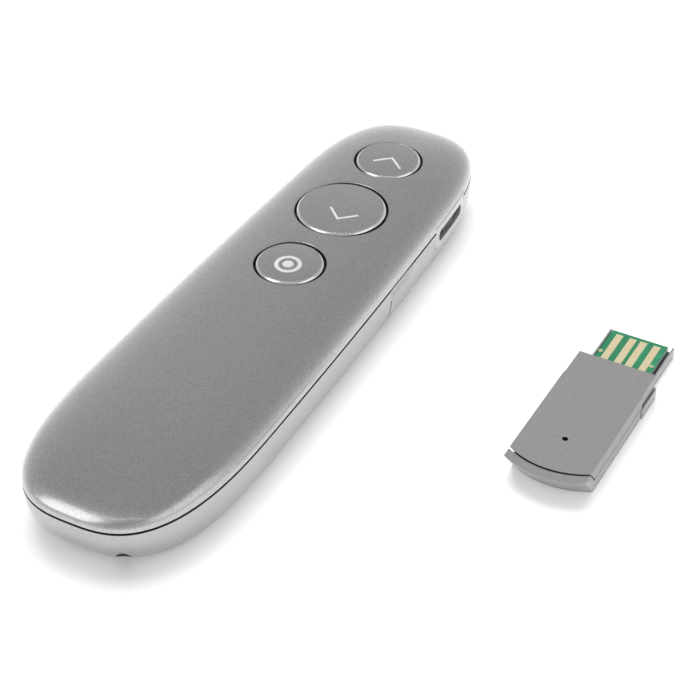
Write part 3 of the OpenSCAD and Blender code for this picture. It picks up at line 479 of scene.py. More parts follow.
def brushed_metal(name, colour, roughness, stretch):
    """Bare metal, drawn or turned: noise stretched along the working direction."""
    made = Finish(name)
    lines = made.noise(1 / 3, 3, stretch)
    stain = made.noise(3, 3)
    worn = made.blend(stain * 0.5 + lines * 0.5, tint(colour, 0.72), tint(colour, 1))
    return made.surface(base_color=worn, metallic=1.0, roughness=roughness + (lines - 0.5) * 0.2,
                        normal=made.relief(lines, 0.004, 0.4))


# Colour, roughness, grain mm and depth mm of a plastic; colour, roughness and stretch of a metal
dark_plastic_and_groove_shade, knob_plastic, tray_plastic, chip_epoxy, sign_ink, lamp_epoxy = (
    bare_plastic(*recipe) for recipe in (
        # The dark inner plastic is also painted shade where it shows in the parting groove
        ("inner dark plastic", (0.045, 0.046, 0.05), 0.5, 0.25, 0.01),
        ("knob plastic", (0.13, 0.132, 0.135), 0.30, 0.2, 0.008),
        ("tray plastic", (0.05, 0.051, 0.055), 0.45, 0.3, 0.012),
        ("chip epoxy", (0.02, 0.02, 0.022), 0.45, 0.12, 0.006),
        ("sign ink", (0.80, 0.80, 0.80), 0.4, 0.1, 0.002),
        ("lamp epoxy", (0.8, 0.82, 0.8), 0.3, 0.1, 0.002)))
nickel, screw_steel, turned_brass = (
    brushed_metal(*recipe) for recipe in (
        ("nickel", (0.66, 0.66, 0.67), 0.28, (1, 0.1, 1)),
        ("screw steel", (0.45, 0.46, 0.48), 0.35, (1, 1, 0.2)),
        ("turned brass", (0.62, 0.44, 0.18), 0.25, (1, 0.15, 1))))
print("plastics and metals are ready")

# %% [markdown]
# Circuit boards are glass fibre under green lacquer. Where copper runs beneath, the lacquer
# looks lighter and stands a little higher. A picture of a circuit could be drawn on it;
# steps of stretched noise give tracks that keep to straight lines without any picture.

# %% Boards, gold, cells and clear parts
def board_lacquer(name, dark, light, track_mm, cut_mm=1000):
    """Solder mask: stretched noise, stepped into tracks, lightens the green over copper.
    Beyond the cut the bare milled edge of the glass fibre shows."""
    made = Finish(name)
    along, across = (made.noise(track_mm, 0, stretch) for stretch in ((1, 0.12, 1), (0.12, 1, 1)))
    copper = (along > 0.56) * 0.6 + (across > 0.6) * 0.4
    weave = made.noise(0.3, 2)
    bare = made.node("SeparateXYZ", None, {"Vector": made.place()}, "X") > cut_mm * MM
    mask = made.blend(copper * 0.7 + weave * 0.3, dark, light)
    return made.surface(base_color=made.blend(bare, mask, (0.74, 0.86, 0.80, 1)),
                        roughness=0.38 + weave * 0.12, coat_weight=0.4, coat_roughness=0.15,
                        normal=made.relief(copper, 0.02, 0.5))


def pad_gold():
    """Gold contacts: fine scratches run the way the plug goes in."""
    made = Finish("contact gold")
    scratch = made.noise(1 / 6, 4, (1, 0.05, 1))
    cloud = made.noise(1.2, 3)
    gold = made.blend(scratch * 0.6 + cloud * 0.4, (0.88, 0.71, 0.40, 1), (1.0, 0.93, 0.66, 1))
    return made.surface(base_color=gold, metallic=0.55, roughness=0.38 + scratch * 0.2,
                        normal=made.relief(scratch, 0.006, 0.5))


def cell_wrap(name, dark, light):
    """A cell's shrink sleeve: one colour with slow clouds and faint wrinkles along it."""
    made = Finish(name)
    wrinkle = made.noise(1 / 0.9, 3, (1, 0.2, 1))
    cloud = made.noise(5, 3)
    return made.surface(base_color=made.blend(cloud, dark, light), roughness=0.25 + wrinkle * 0.1,
                        coat_weight=0.5, normal=made.relief(wrinkle, 0.02, 0.3))


def clouded(name, cloud_mm, dark, light, roughness, **more):
    """A moulded clear part: its tint and its polish drift slowly together."""
    made = Finish(name)
    cloud = made.noise(cloud_mm, 3)
    return made.surface(base_color=made.blend(cloud, dark, light),
                        roughness=roughness + cloud * 0.05, **more)


main_lacquer = board_lacquer("main board lacquer", (0.010, 0.11, 0.05, 1), (0.03, 0.24, 0.11, 1), 0.9)
plug_lacquer = board_lacquer("plug board lacquer", (0.008, 0.24, 0.10, 1), (0.016, 0.36, 0.16, 1), 1.2,
                             cut_mm=62.49)
sleeve = cell_wrap("cell sleeve", (0.035, 0.12, 0.07, 1), (0.06, 0.19, 0.11, 1))
sleeve_band = cell_wrap("cell sleeve band", (0.45, 0.46, 0.44, 1), (0.56, 0.57, 0.55, 1))
contact_gold = pad_gold()
# A lens with a slight haze from the mould, and a window that lets only the red light through
lens = clouded("moulded lens", 0.8, (0.8, 0.87, 0.9, 1), (0.92, 0.95, 0.97, 1), 0.05,
               transmission_weight=0.85, ior=1.49)
filter_red = clouded("red filter", 1.5, (0.10, 0.006, 0.008, 1), (0.16, 0.012, 0.014, 1), 0.10,
                     coat_weight=1.0, coat_roughness=0.03)
print("all finishes are ready")

# %% [markdown]
# ## Finishes for the solids that stay as they are
# Screws, chips, switches and boards are small, plain and mostly hidden, so their packed
# solids are right as they are. They only need a finish.

# %% Dress the small parts
DRESSED = {
    nickel: "tactile_switches crystal_can switch_case front_contacts bridge_contact receiver_crystal",
    dark_plastic_and_groove_shade: "switch_stem page_up_plunger page_down_plunger laser_plunger",
    screw_steel: "board_screws case_screws", turned_brass: "laser_barrel laser_diode",
    chip_epoxy: "radio_chip receiver_chip", tray_plastic: "battery_tray", lens: "laser_lens",
    main_lacquer: "main_board", plug_lacquer: "receiver_board", contact_gold: "receiver_contacts",
    lamp_epoxy: "receiver_led", filter_red: "laser_window",
}
dressed = {name: material for material, names in DRESSED.items() for name in names.split()}
for name, material in dressed.items():
    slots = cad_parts[name].data.materials
    if not slots:
        slots.append(material)
    for index in range(len(slots)):
        slots[index] = material
print(len(dressed), "solids dressed")

# %% [markdown]
# ## The top cover
# The cover is one moulding: a crowned shell 1.4 mm thick with three round holes. It could
# be a solid with holes cut by Boolean, but cuts leave long thin faces that show in a gloss.
# Here a band of rings climbs from the edge, and inside it rows run straight across the
# body. Where a row meets a hole it stops at the hole's circle and goes on beyond it, so
# the holes are part of the grid from the start.

# %% Rows, holes and rings of a crown
KEY_Y = {"page_up": 44.408, "page_down": 25.985, "laser": 7.078}
HOLE_R = {"page_up": 6.45, "page_down": 8.55, "laser": 6.45}
BAND_SHARE = 0.8
LIP = 0.22
SHELF_Z, SHELF_W = 11.9, 1.3
BEZEL_Y0, BEZEL_Y1, BEZEL_Z0, BEZEL_Z1, BEZEL_ROOM = 33.5, 46.9, 4.9, 9.7, 0.02
STEP, COMB_GAP = 0.03, 0.006
BEZEL_MARKS = [BEZEL_Y0 - STEP, BEZEL_Y0, BEZEL_Y1, BEZEL_Y1 + STEP]
ROOF = COVER_TOP - WALL


def cover_walks():
    """Walks of all rows and columns: fine where a hole's circle runs along the row, exact
    at the ends of the holes and of the slider's bezel, and an even comb between."""
    marks = [walk_at(BEZEL_MARKS)]
    for key, y in KEY_Y.items():
        outer, inner = HOLE_R[key] + LIP, HOLE_R[key] + SHELF_W
        marks.append(walk_at(y - outer * np.cos(np.linspace(0, np.pi, 37)), 0, BAND_SHARE))
        reach = inner - (inner - outer) * np.array([0, 0.12, 0.35, 0.65])
        marks.append(walk_at([*(y - reach), *(y + reach)], WALL, BAND_SHARE))
    marks = np.unique(np.concatenate(marks).round(9))
    comb = np.concatenate([np.linspace(0, 1, 29), np.linspace(1, 2, 61), np.linspace(2, 3, 29)])
    far = np.abs(comb[:, None] - marks).min(1) > COMB_GAP
    return np.unique(np.concatenate([marks, comb[far], [0, 3]]))


def at_bezel(walk):
    """Which steps of a walk lie in the notch for the slider's bezel."""
    return (walk > walk_at(BEZEL_Y0) - 1e-7) & (walk < walk_at(BEZEL_Y1) + 1e-7)


def hole_gap(rows, margin):
    """Half the gap that the holes leave in each row."""
    gap = np.zeros_like(rows)
    for key, y in KEY_Y.items():
        gap = np.maximum(gap, np.sqrt(np.maximum((HOLE_R[key] + margin) ** 2 - (rows - y) ** 2, 0)))
    return np.where(gap < 1e-3, 0, gap)


def crown_grid(skin, points, inset, top):
    """Adds a grid of the crown with its exact normals; the inside is turned round."""
    inner = inset > 0
    skin.grid(points, crown_normal(points, inset, top) * (1 - 2 * inner), inner, int(inner))
    return points


def crown_sheet(skin, walk, margin, inset, top):
    """The middle of the crown: rows straight across, with the holes left out."""
    edge, rows = outline(walk, inset, BAND_SHARE)
    edge[[0, -1]] = 0
    gap = np.minimum(hole_gap(rows, margin), edge)
    half = edge[:, None] + (gap - edge)[:, None] * np.linspace(0, 1, 15)
    for side in (1, -1):
        x, y = np.broadcast_arrays(side * half[:, ::side], rows[:, None])
        share = crown_share(x, y, inset)
        share[:, 0 if side > 0 else -1] = BAND_SHARE
        crown_grid(skin, xyz(x, y, crown_height(share, top)), inset, top)
    return rows


def hole_ring(rows, key, margin, inset, top):
    """The closed ring where a hole's circle meets the rows of a crown."""
    y = rows[np.abs(rows - KEY_Y[key]) <= HOLE_R[key] + margin + 1e-6]
    x = hole_gap(y, margin)
    x, y = np.r_[x, -x[-2::-1]], np.r_[y, y[-2::-1]]
    return xyz(x, y, crown_height(crown_share(x, y, inset), top))


def crown_band(skin, columns, inset, top, lowest):
    """The crown's rim: rings from the band's inner share out and down to a lowest height
    that may change along the walk. Share and height follow the squarish quarter round."""
    inner = np.arccos(BAND_SHARE ** (CROWN_POWER / 2))
    outer = np.arcsin(np.clip((lowest - COVER_EDGE) / (top - COVER_EDGE), 0, 1) ** (CROWN_POWER / 2))
    angle = inner + (outer - inner) * np.linspace(0, 1, 22)[:, None]
    points = xyz(*outline(columns, inset, np.cos(angle) ** (2 / CROWN_POWER)),
                 COVER_EDGE + (top - COVER_EDGE) * np.sin(angle) ** (2 / CROWN_POWER))
    points[0] = xyz(*outline(columns, inset, BAND_SHARE), crown_height(BAND_SHARE, top))
    return crown_grid(skin, points, inset, top)


walks = cover_walks()
print("rows across the cover:", len(walks))

# %% Sew the cover
EDGE_ROUND = 0.15
OUTSIDE, INSIDE = (0.0, COVER_TOP), (WALL, ROOF)
# Where the screw bosses stand, and the profile of a boss with its bore: radius and height
BOSSES = [(9.5, 11.85), (-9.5, 11.85), (6.5, -51.2), (-6.5, -51.2)]
BOSS = [(0, 11.9), (2.1, 11.9), (2.1, 5.4), (0.9, 5.4), (0.9, 11.5), (0, 11.5)]

cover = Skin()
columns = np.r_[walks, 6 - walks[-2::-1]]
lowest = np.where(at_bezel(columns), BEZEL_Z1 + BEZEL_ROOM, COVER_EDGE)
outer_rows = crown_sheet(cover, walks, LIP, *OUTSIDE)
inner_rows = crown_sheet(cover, walks, SHELF_W, *INSIDE)
rim = crown_band(cover, columns, *OUTSIDE, lowest + EDGE_ROUND)
inside = crown_band(cover, columns, *INSIDE, lowest)
turn = np.linspace(0, np.pi / 2, 5)[:, None]
drawn_in, above = EDGE_ROUND * (1 - np.cos(turn)), EDGE_ROUND * (1 - np.sin(turn))
edge_round = xyz(*outline(columns, drawn_in), lowest + above)
edge_round[0] = rim[-1]
# The cover's underside edge takes the dark inner finish: painted shade in the parting groove
cover.grid(edge_round).join(edge_round[-1], inside[-1], 1)

for key, y in KEY_Y.items():
    top_ring = hole_ring(outer_rows, key, LIP, *OUTSIDE)
    away = (top_ring - (0, y, 0)) * (1, 1, 0) / (HOLE_R[key] + LIP)
    fold = np.linspace(0, np.pi / 2, 7)[:, None, None]
    lip = (0, y, 0) + away * (HOLE_R[key] + LIP * (1 - np.sin(fold))) + (
        top_ring * (0, 0, 1)) - (0, 0, LIP) * (1 - np.cos(fold))
    tilt = np.cos(fold) * crown_normal(top_ring) - np.sin(fold) * away
    cover.grid(lip, tilt / np.linalg.norm(tilt, axis=-1, keepdims=True), flip=True)
    roof_ring = hole_ring(inner_rows, key, SHELF_W, *INSIDE)
    foot, shelf_ring = (ring * (1, 1, 0) + (0, 0, SHELF_Z) for ring in (lip[-1], roof_ring))
    cover.join(lip[-1], foot, 1, flip=True).zip(foot, shelf_ring, finish=1)
    cover.join(roof_ring, shelf_ring, 1)
for x, y in BOSSES:
    cover.turned(BOSS, (x, y, 0), 32, 1)
cover.piece("top_cover_shell", "clicker", [cover_paint, dark_plastic_and_groove_shade], "cover_gloss", "top_cover")

# %% [markdown]
# ## The lower shell: front housing and battery door
# Both are thin shells cut from one tub. They could be one mesh cut in two, but a cut leaves
# ragged triangles, so each is drawn straight from the plan: columns walk round the outline,
# rows run down from the parting line, round the belly and in to the middle of the floor.
# Columns sit exactly at the seam and at the bezel, where the rows start lower.

# %% Shell surfaces
SEAM_Y, SEAM_GAP = 14.409, 0.3
SEAM_FRONT, SEAM_BACK = SEAM_Y + SEAM_GAP / 2, SEAM_Y - SEAM_GAP / 2
RAMP_LEN, RAMP_DEPTH, RAMP_DIP, RAMP_Z, RAMP_RISE, RAMP_END = 9.2, 0.75, 1.2, 6.15, 1.2, 0.2
POCKET_Y, POCKET_Z, POCKET_X = (32.6, 48.9), 3.3, 13.35
BORE_ROOM = 0.12


def shell_angle(z, floor):
    """The profile angle at which the tub's wall has come down to a height."""
    return np.arcsin(np.clip((SHELL_EDGE - z) / (SHELL_EDGE - floor), 0, 1) ** (BASE_POWER / 2))


def shell_grid(walk, angle, inset, floor):
    """Wall of the tub: z falls from the edge by the squarish sine of the angle, and the
    plan draws in by the squarish rest of the cosine, most at the tail."""
    g = 1 - np.abs(np.cos(angle)) ** (2 / BASE_POWER)
    z = SHELL_EDGE - (SHELL_EDGE - floor) * np.abs(np.sin(angle)) ** (2 / BASE_POWER)
    return xyz(*outline(walk, inset, draft=g), z)


def pressed(points):
    """The thumb recess: a slanted face that starts at nothing at the ledge, is full depth
    a little above it, and comes out to the flank again over the last part of its length."""
    x, y, z = np.moveaxis(points, -1, 0)
    share = (y - SEAM_Y) / RAMP_LEN
    deep = np.clip((1 - share) / RAMP_END, 0, 1) * np.clip((z - RAMP_Z) / RAMP_RISE, 0, 1)
    limit = np.where((z > RAMP_Z) & (share < 1), half_width(y) - RAMP_DEPTH * deep, np.inf)
    return xyz(np.sign(x) * np.minimum(np.abs(x), limit), y, z)


def pocketed(points):
    """Inside the right wall a pocket is cut back, in which the slider's plate runs."""
    x, y, z = np.moveaxis(points, -1, 0)
    near = (x > 0) & (y > POCKET_Y[0]) & (y < POCKET_Y[1]) & (z > POCKET_Z)
    return xyz(np.where(near, np.maximum(x, POCKET_X), x), y, z)


def bored(target, axes, level, walk, angle):
    """Where a bore meets the tub: Newton's rule finds the walk and the angle at which two
    of the surface's coordinates reach their target, from the slopes of both."""
    step = 1e-5
    for _ in range(14):
        here, on, down = (shell_grid(*place, *level)[..., axes] for place in (
            (walk, angle), (walk + step, angle), (walk, angle + step)))
        (wx, wy), (ax, ay) = (np.moveaxis((there - here) / step, -1, 0) for there in (on, down))
        mx, my = np.moveaxis(target - here, -1, 0)
        area = wx * ay - wy * ax
        walk, angle = walk + (mx * ay - my * ax) / area, angle + (wx * my - wy * mx) / area
    return np.array([walk, angle])


def edge_ring(table, block):
    """The border of a block of a grid: along its top, down, back and up again."""
    r0, r1, c0, c1 = block
    return np.r_[table[r0, c0:c1], table[r0:r1, c1], table[r1, c1:c0:-1],
                 table[r1:r0:-1, c0], table[r0:r0 + 1, c0]]


def bore_block(faces, axes, *circles):
    """The block of faces that holds a bore on both surfaces: its rows, then its columns."""
    near = [np.nonzero(np.hypot(*np.moveaxis(face[-1][..., axes] - centre, -1, 0)) < radius + BORE_ROOM)
            for face, (centre, radius) in zip(faces, circles)]
    low, high = (pick([pick(at, 1) for at in near], 0) for pick in (np.min, np.max))
    return low[0] - 1, high[0] + 1, low[1] - 1, high[1] + 1


def tub(walk, top, bores, ramps=False):
    """A stretch of the tub as a closed shell: outside, edge, inside, floor and both ends.
    Round each bore a block of faces is left out, and rings lead from its border to the
    bore's own edge; a tunnel joins the edges of the two surfaces."""
    skin, faces = Skin(), []
    for level in ((0.0, 0.0), (WALL, FLOOR)):
        ledge = shell_angle(np.array([RAMP_Z + STEP, RAMP_Z - STEP]), level[1])
        rows = np.r_[0, 0.03, np.linspace(0.07, ledge[0], 5),
                     np.linspace(ledge[1], np.pi / 2, 24)][:, None]
        start, fixed = shell_angle(top, level[1]), np.where(top < RAMP_Z, np.pi / 2, ledge[0])
        angle = np.where(rows < fixed, start + (fixed - start) * rows / fixed, rows)
        wide = np.broadcast_to(walk, angle.shape)
        faces.append((level, wide, angle, shell_grid(wide, angle, *level)))
    blocks = [bore_block(faces, *bore) for bore in bores]
    sides, rims = [], []
    for inner, (level, wide, angle, wall) in enumerate(faces):
        keep = np.ones((wall.shape[0], wall.shape[1] - 1), bool)
        for (axes, *circles), block in zip(bores, blocks):
            centre, radius = circles[inner]
            keep[block[0]:block[1], block[2]:block[3]] = False
            ways = edge_ring(faces[0][-1], block)[:, axes] - circles[0][0]
            target = centre + radius * ways / np.linalg.norm(ways, axis=1, keepdims=True)
            border = np.array([edge_ring(wide, block), edge_ring(angle, block)])
            hole = bored(target, axes, level, *border.mean(1))
            share = np.linspace(0, 1, 7)[:, None]
            rings = shell_grid(*(border[:, None] + (hole - border)[:, None] * share), *level)
            skin.grid(rings, flip=bool(inner), finish=inner)
            rims.append(rings[-1])
        if ramps:
            wall = pocketed(wall) if inner else pressed(wall)
        wall = np.r_[wall, (wall[-1] * (0, 1, 1))[None]]
        skin.grid(wall, flip=bool(inner), finish=inner, keep=keep)
        sides.append(wall)
    for outer_rim, inner_rim in zip(rims[:len(bores)], rims[len(bores):]):
        skin.join(outer_rim, inner_rim, 1)
    skin.join(sides[0][0], sides[1][0], 1, flip=True)
    for end, flip in ((0, True), (-1, False)):
        skin.grid(np.stack([sides[0][:, end], sides[1][:, end]], 1), flip=flip, finish=1)
    return skin


right = np.unique(np.r_[
    walk_at([SEAM_FRONT, SEAM_Y + RAMP_LEN * (1 - RAMP_END), SEAM_Y + RAMP_LEN, *BEZEL_MARKS]),
    np.linspace(walk_at(SEAM_FRONT) + 0.01, 2, 46), np.linspace(2, 3, 37)].round(9))
front_walk = np.r_[right, 6 - right[-2::-1]]
run_out = np.clip((1 - (outline(front_walk)[1] - SEAM_Y) / RAMP_LEN) / RAMP_END, 0, 1)
top = np.where(at_bezel(front_walk), BEZEL_Z0 - BEZEL_ROOM, SHELL_EDGE - RAMP_DIP * run_out)
left = np.unique(np.r_[walk_at(SEAM_BACK), np.linspace(0, 1, 49),
                       np.linspace(1, walk_at(SEAM_BACK) - 0.01, 34)].round(9))
door_walk = np.r_[6 - left[::-1], 6 + left[1:]]

# Each bore has its two axes, then its centre and radius on the outside and on the inside
WINDOW_BORE = ([0, 2], ((0.0, 4.4), 2.23), ((0.0, 4.4), 2.23))
LANYARD_BORES = [([0, 1], ((7.5, -58.5), 1.35), ((7.2, -57.5), 0.9)),
                 ([0, 1], ((6.4, -53.9), 1.0), ((6.4, -53.4), 0.9))]
housing = tub(front_walk, top, [WINDOW_BORE], ramps=True)
door = tub(door_walk, np.full(len(door_walk), SHELL_EDGE), LANYARD_BORES)
print("shell points", housing.count, "in front and", door.count, "behind")

# %% [markdown]
# Inside the housing stand posts for the board, ears for the case screws, two ribs that
# cradle the laser, and a lip that keeps dust out of the groove. The door has two guide
# rails and a tongue. They could be left out, since a closed case hides them, but they show
# as soon as the door slides off. Plain blocks and posts are sunk a little into the wall.

# %% Fit out the shells
ROOT = FLOOR - 0.1
POSTS, POST_R, POST_TOP = [(9.6, 16.659), (-9.6, 16.659), (5.5, 47.298), (-5.5, 47.298)], 2.1, 7.2
LIP_GAP, LIP_STEPS = (0.8, 2.1), (24, 120)
RIB_Y, RIB_T, RIB_HALF, LASER_Z, LASER_R = (46.2, 54.6), 1.2, 3.8, 4.4, 2.6
LIP_PROFILE = np.array([(1.7, 9.45), (1.7, 8.5), (1.0, 8.5), (1.0, 6.95), (2.5, 6.95), (2.5, 9.45),
                        (1.7, 9.45)])
# Each bar has its half width, then its reach along the body and in height
EAR, EAR_FOOT = (2.25, (9.61, 15.9), (1.8, 3.1)), (2.25, (14.57, 15.75), (ROOT, 2.5))
RAIL = (0.35, (-47.5, 5.7), (ROOT, 3.3))
TONGUE_FOOT, TONGUE = (2.2, (12.66, 14.2), (ROOT, 1.6)), (2.2, (12.66, 18.26), (1.5, 2.3))
EAR_X, RAIL_X = 9.5, 12.75


def groove_lip(skin, walk):
    """The lip's profile carried round the outline: its inset and its height at each corner
    of the profile, for every step of the walk."""
    ring = xyz(*outline(walk, LIP_PROFILE[:, :1]), LIP_PROFILE[:, 1:])
    # The whole lip takes the dark inner finish: painted shade that keeps the groove dark
    skin.grid(ring, finish=1).panel(ring[:-1, 0][::-1], 1).panel(ring[:-1, -1], 1)


def rib(skin, y):
    """A rib under the laser: a wall whose top edge dips by the circle of the barrel."""
    x = np.r_[-RIB_HALF, np.linspace(-LASER_R, LASER_R, 33), RIB_HALF]
    top = LASER_Z - np.sqrt(np.maximum(LASER_R ** 2 - x ** 2, 0))
    face = np.stack([xyz(x, y, z) for z in (top, ROOT)])
    skin.wrap(face, face + (0, RIB_T, 0), 1)


def bar(skin, x, half, along, height):
    """A block laid along the body about a given x."""
    skin.block((x - half, along[0], height[0]), (x + half, along[1], height[1]), 1)


lip_start = walk_at(SEAM_FRONT + 0.01)
groove_lip(housing, np.linspace(lip_start, walk_at(BEZEL_Y0 - LIP_GAP[0]), LIP_STEPS[0]))
groove_lip(housing, np.linspace(walk_at(BEZEL_Y1 + LIP_GAP[1]), 6 - lip_start, LIP_STEPS[1]))
for x, y in POSTS:
    housing.turned([(0, POST_TOP), (POST_R, POST_TOP), (POST_R, ROOT), (0, ROOT)], (x, y, 0), 40, 1)
for side in (-1, 1):
    bar(housing, side * EAR_X, *EAR)
    bar(housing, side * EAR_X, *EAR_FOOT)
    bar(door, side * RAIL_X, *RAIL)
for y in RIB_Y:
    rib(housing, y)
bar(door, 0, *TONGUE_FOOT)
bar(door, 0, *TONGUE)
tub_finishes = [shell_paint, dark_plastic_and_groove_shade]
housing.piece("front_housing_shell", "clicker", tub_finishes, "shell_satin", "bottom_housing")
door.piece("battery_door_shell", "door", tub_finishes, "shell_satin", "battery_door")

# %% [markdown]
# ## The keys
# Each key is a turned cap: slightly domed, with a polished bevel round its edge, a skirt
# and a flange that keeps it from falling out. The bevel's paint is also lighter than the
# key's, which is painted highlight. A lathe profile is the natural way to draw it.

# %% Turn the keys
KEY_GAP, BEVEL, SWELL, DOME, PROUD, KEY_WALL = 0.4, 0.45, 0.042, 0.185, 0.1, 1.2
FLANGE_TOP, FLANGE_Z, FLANGE_W, PIP_R, PIP_Z, KEY_STEPS = 11.8, 11.0, 0.75, 1.2, 10.8, 96


def key_top(radius, key):
    """Height of a key's dome at a distance from its middle: it falls with the square."""
    r = HOLE_R[key] - KEY_GAP - BEVEL
    edge = crown_height(crown_share(0.0, KEY_Y[key])) + PROUD
    return edge + DOME * (1 - (radius / r) ** 2)


for key, y in KEY_Y.items():
    r, flange_r = HOLE_R[key] - KEY_GAP, HOLE_R[key] + FLANGE_W
    edge = float(key_top(r - BEVEL, key))
    inner_r, roof = r - KEY_WALL, edge - KEY_WALL
    radii, bow = np.linspace(0, r - BEVEL, 25), np.linspace(0, 1, 7)
    swell = SWELL * np.sin(np.pi * bow)
    cap = Skin().turned(np.c_[radii, key_top(radii, key)], (0, y, 0), KEY_STEPS)
    bevel = np.c_[r - BEVEL + BEVEL * bow + swell, edge - BEVEL * bow + swell]
    cap.turned(bevel, (0, y, 0), KEY_STEPS, 1)
    skirt = [(r, edge - BEVEL), (r, FLANGE_TOP), (flange_r, FLANGE_TOP), (flange_r, FLANGE_Z),
             (inner_r, FLANGE_Z), (inner_r, roof), (PIP_R, roof), (PIP_R, PIP_Z), (0, PIP_Z)]
    cap.turned(skirt, (0, y, 0), KEY_STEPS)
    cap.piece(f"{key}_cap", f"{key}_key", [key_paint, rim_paint_with_painted_highlight], "button_gloss", f"{key}_button",
              crisp=math.radians(25))

# %% [markdown]
# The keys carry printed signs: a chevron towards the nose, one towards the tail, and a ring
# with a dot for the light pointer. They could be part of the paint, but a print is a film
# of ink that stands on the paint, so each sign is a thin slab that follows the dome.

# %% Print the signs
INK_T, STROKE = 0.015, 0.46
CHEVRONS = {"page_up": (0.7, 44.75, 42.35), "page_down": (1.1, 22.5, 25.1)}
ARM, RING_AT, RING_R, DOT_R = 2.83, (0.13, 6.25), (1.72, 2.42), 1.0


def ink(skin, key, x, y, loop=False):
    """A film over a grid of places: the dome's height, plus and minus the ink's thickness."""
    points = xyz(x, y, key_top(np.hypot(x, y - KEY_Y[key]), key) + INK_T)
    return skin.wrap(points, points - (0, 0, 2 * INK_T), loop=loop)


def chevron(middle, tip, ends):
    """A mitred ribbon round a corner: each edge stands off the path by half the stroke times
    the sum of both normals over one plus their product."""
    path = np.array([(middle - ARM, ends), (middle, tip), (middle + ARM, ends)])
    run = np.diff(path, axis=0)
    side = np.stack([-run[:, 1], run[:, 0]], 1) / np.linalg.norm(run, axis=1, keepdims=True)
    mitre = np.stack([side[0], (side[0] + side[1]) / (1 + side[0] @ side[1]), side[1]])
    edges = path + np.array([0.5, 0, -0.5])[:, None, None] * STROKE * mitre
    u = np.linspace(0, 2, 41)
    return [np.stack([np.interp(u, [0, 1, 2], edge[:, k]) for edge in edges]) for k in (0, 1)]


for key, corners in CHEVRONS.items():
    ink(Skin(), key, *chevron(*corners)).piece(f"{key}_sign", f"{key}_key", [sign_ink], "led_white")
round_angle = np.linspace(0, 2 * np.pi, 73)
round_angle[-1] = 0
circle = np.cos(round_angle), np.sin(round_angle)
pointer_sign = Skin()
for radii in (np.linspace(*RING_R, 3)[:, None], np.linspace(0, DOT_R, 5)[:, None]):
    ink(pointer_sign, "laser", *(at + radii * way for at, way in zip(RING_AT, circle)), loop=True)
pointer_sign.piece("laser_sign", "laser_key", [sign_ink], "led_white")

# %% [markdown]
# ## The slider on the flank
# A silver frame is let into the flank, and a dark ribbed grip slides in its long window.
# The frame could be a plate with a Boolean cut. Here its section is carried round the
# window instead: back edge, rounded front edge, face, rounded window edge and back again.
# Each point's x is the flank's own half width there, less its depth in the section.

# %% Frame
WINDOW, WINDOW_ROUND = (34.95, 45.45, 5.9, 8.2), 1.0
FRAME_T, FRAME_ROUND, FRAME_CORNER, FIT = 1.29, 0.14, 0.5, 0.01
INWARD = np.array([1, -1, 1, -1])


def rounded_loop(box, radius):
    """A rectangle with round corners, clockwise seen from the right: four quarter circles,
    and straight sides between them with the same count of points in every loop."""
    y0, y1, z0, z1 = box + INWARD * radius
    corners = []
    for k, middle in enumerate(((y1, z1), (y1, z0), (y0, z0), (y0, z1))):
        angle = np.linspace(np.pi / 2, 0, 7) - k * np.pi / 2
        corners.append(middle + radius * np.c_[np.cos(angle), np.sin(angle)])
    parts = []
    for k, count in enumerate((5, 34, 5, 34)):
        parts += [corners[k], np.linspace(corners[k][-1], corners[(k + 1) % 4][0], count + 2)[1:-1]]
    return np.concatenate(parts + [corners[0][:1]])


turn = np.linspace(0, np.pi / 2, 4)
section = [(0, FRAME_T), *zip(FRAME_ROUND * (1 - np.cos(turn)), FRAME_ROUND * (1 - np.sin(turn)))]
outer_box = np.array([BEZEL_Y0, BEZEL_Y1, BEZEL_Z0, BEZEL_Z1]) + INWARD * FIT
loops = [(rounded_loop(outer_box + INWARD * inset, FRAME_CORNER - inset), depth)
         for inset, depth in section]
loops += [(rounded_loop(WINDOW - INWARD * inset, WINDOW_ROUND + inset), depth)
          for inset, depth in section[::-1]]
slider_frame = Skin().grid(np.stack([
    np.c_[outline(walk_at(loop[:, 0]))[0] - depth, loop] for loop, depth in loops + loops[:1]]))
slider_frame.piece("slider_frame", "clicker", [bezel_paint], "bezel_silver", "switch_bezel",
                   crisp=math.radians(40))

# %% [markdown]
# The grip is a ribbed bar on a plate that runs inside the shell, and a fork under the plate
# holds the switch's stem. Ribs could be added one by one; one wave makes them all.

# %% Grip
RIBS, RIB_DEPTH, GRIP_ROUND, GRIP_SAG = 7, 0.3, 0.22, 0.25
GRIP_Y, GRIP_LEN, GRIP_Z, GRIP_HALF, GRIP_X = 37.65, 3.7, 7.05, 0.99, 15.04
PLATE_X, PLATE_Y, PLATE_Z = (12.72, 13.2), (32.81, 45.59), (5.31, 8.64)
FORK_X, FORK_Z, FORK_Y = 11.96, (4.96, 6.1), (37.26, 38.7, 40.3, 41.74)
along = np.linspace(0, RIBS, 120)
valley = np.where(np.abs(along - RIBS / 2) < RIBS // 2, 0.5 - 0.5 * np.cos(2 * np.pi * (along - 0.5)), 0)
tip = np.clip(np.minimum(along, RIBS - along) / 0.35, 0, 1)
crest = GRIP_X - RIB_DEPTH * valley - GRIP_ROUND * (1 - np.sqrt(1 - (1 - tip) ** 2))
across = np.linspace(-1, 1, 13)[:, None]
grip_rows = xyz(crest - GRIP_SAG * across ** 4, GRIP_Y + GRIP_LEN * along / RIBS,
                GRIP_Z - GRIP_HALF * across)
grip = Skin().wrap(grip_rows, grip_rows * (0, 1, 1) + (PLATE_X[1] - 0.1, 0, 0))
for x, y, z in ((PLATE_X, PLATE_Y, PLATE_Z), ((12.55, PLATE_X[0] + 0.1), FORK_Y[::3], FORK_Z),
                ((FORK_X, 12.6), FORK_Y[:2], FORK_Z), ((FORK_X, 12.6), FORK_Y[2:], FORK_Z)):
    grip.block(*zip(x, y, z))
grip.piece("slider_grip", "power_slider", [knob_plastic], "dark_plastic", "power_knob")

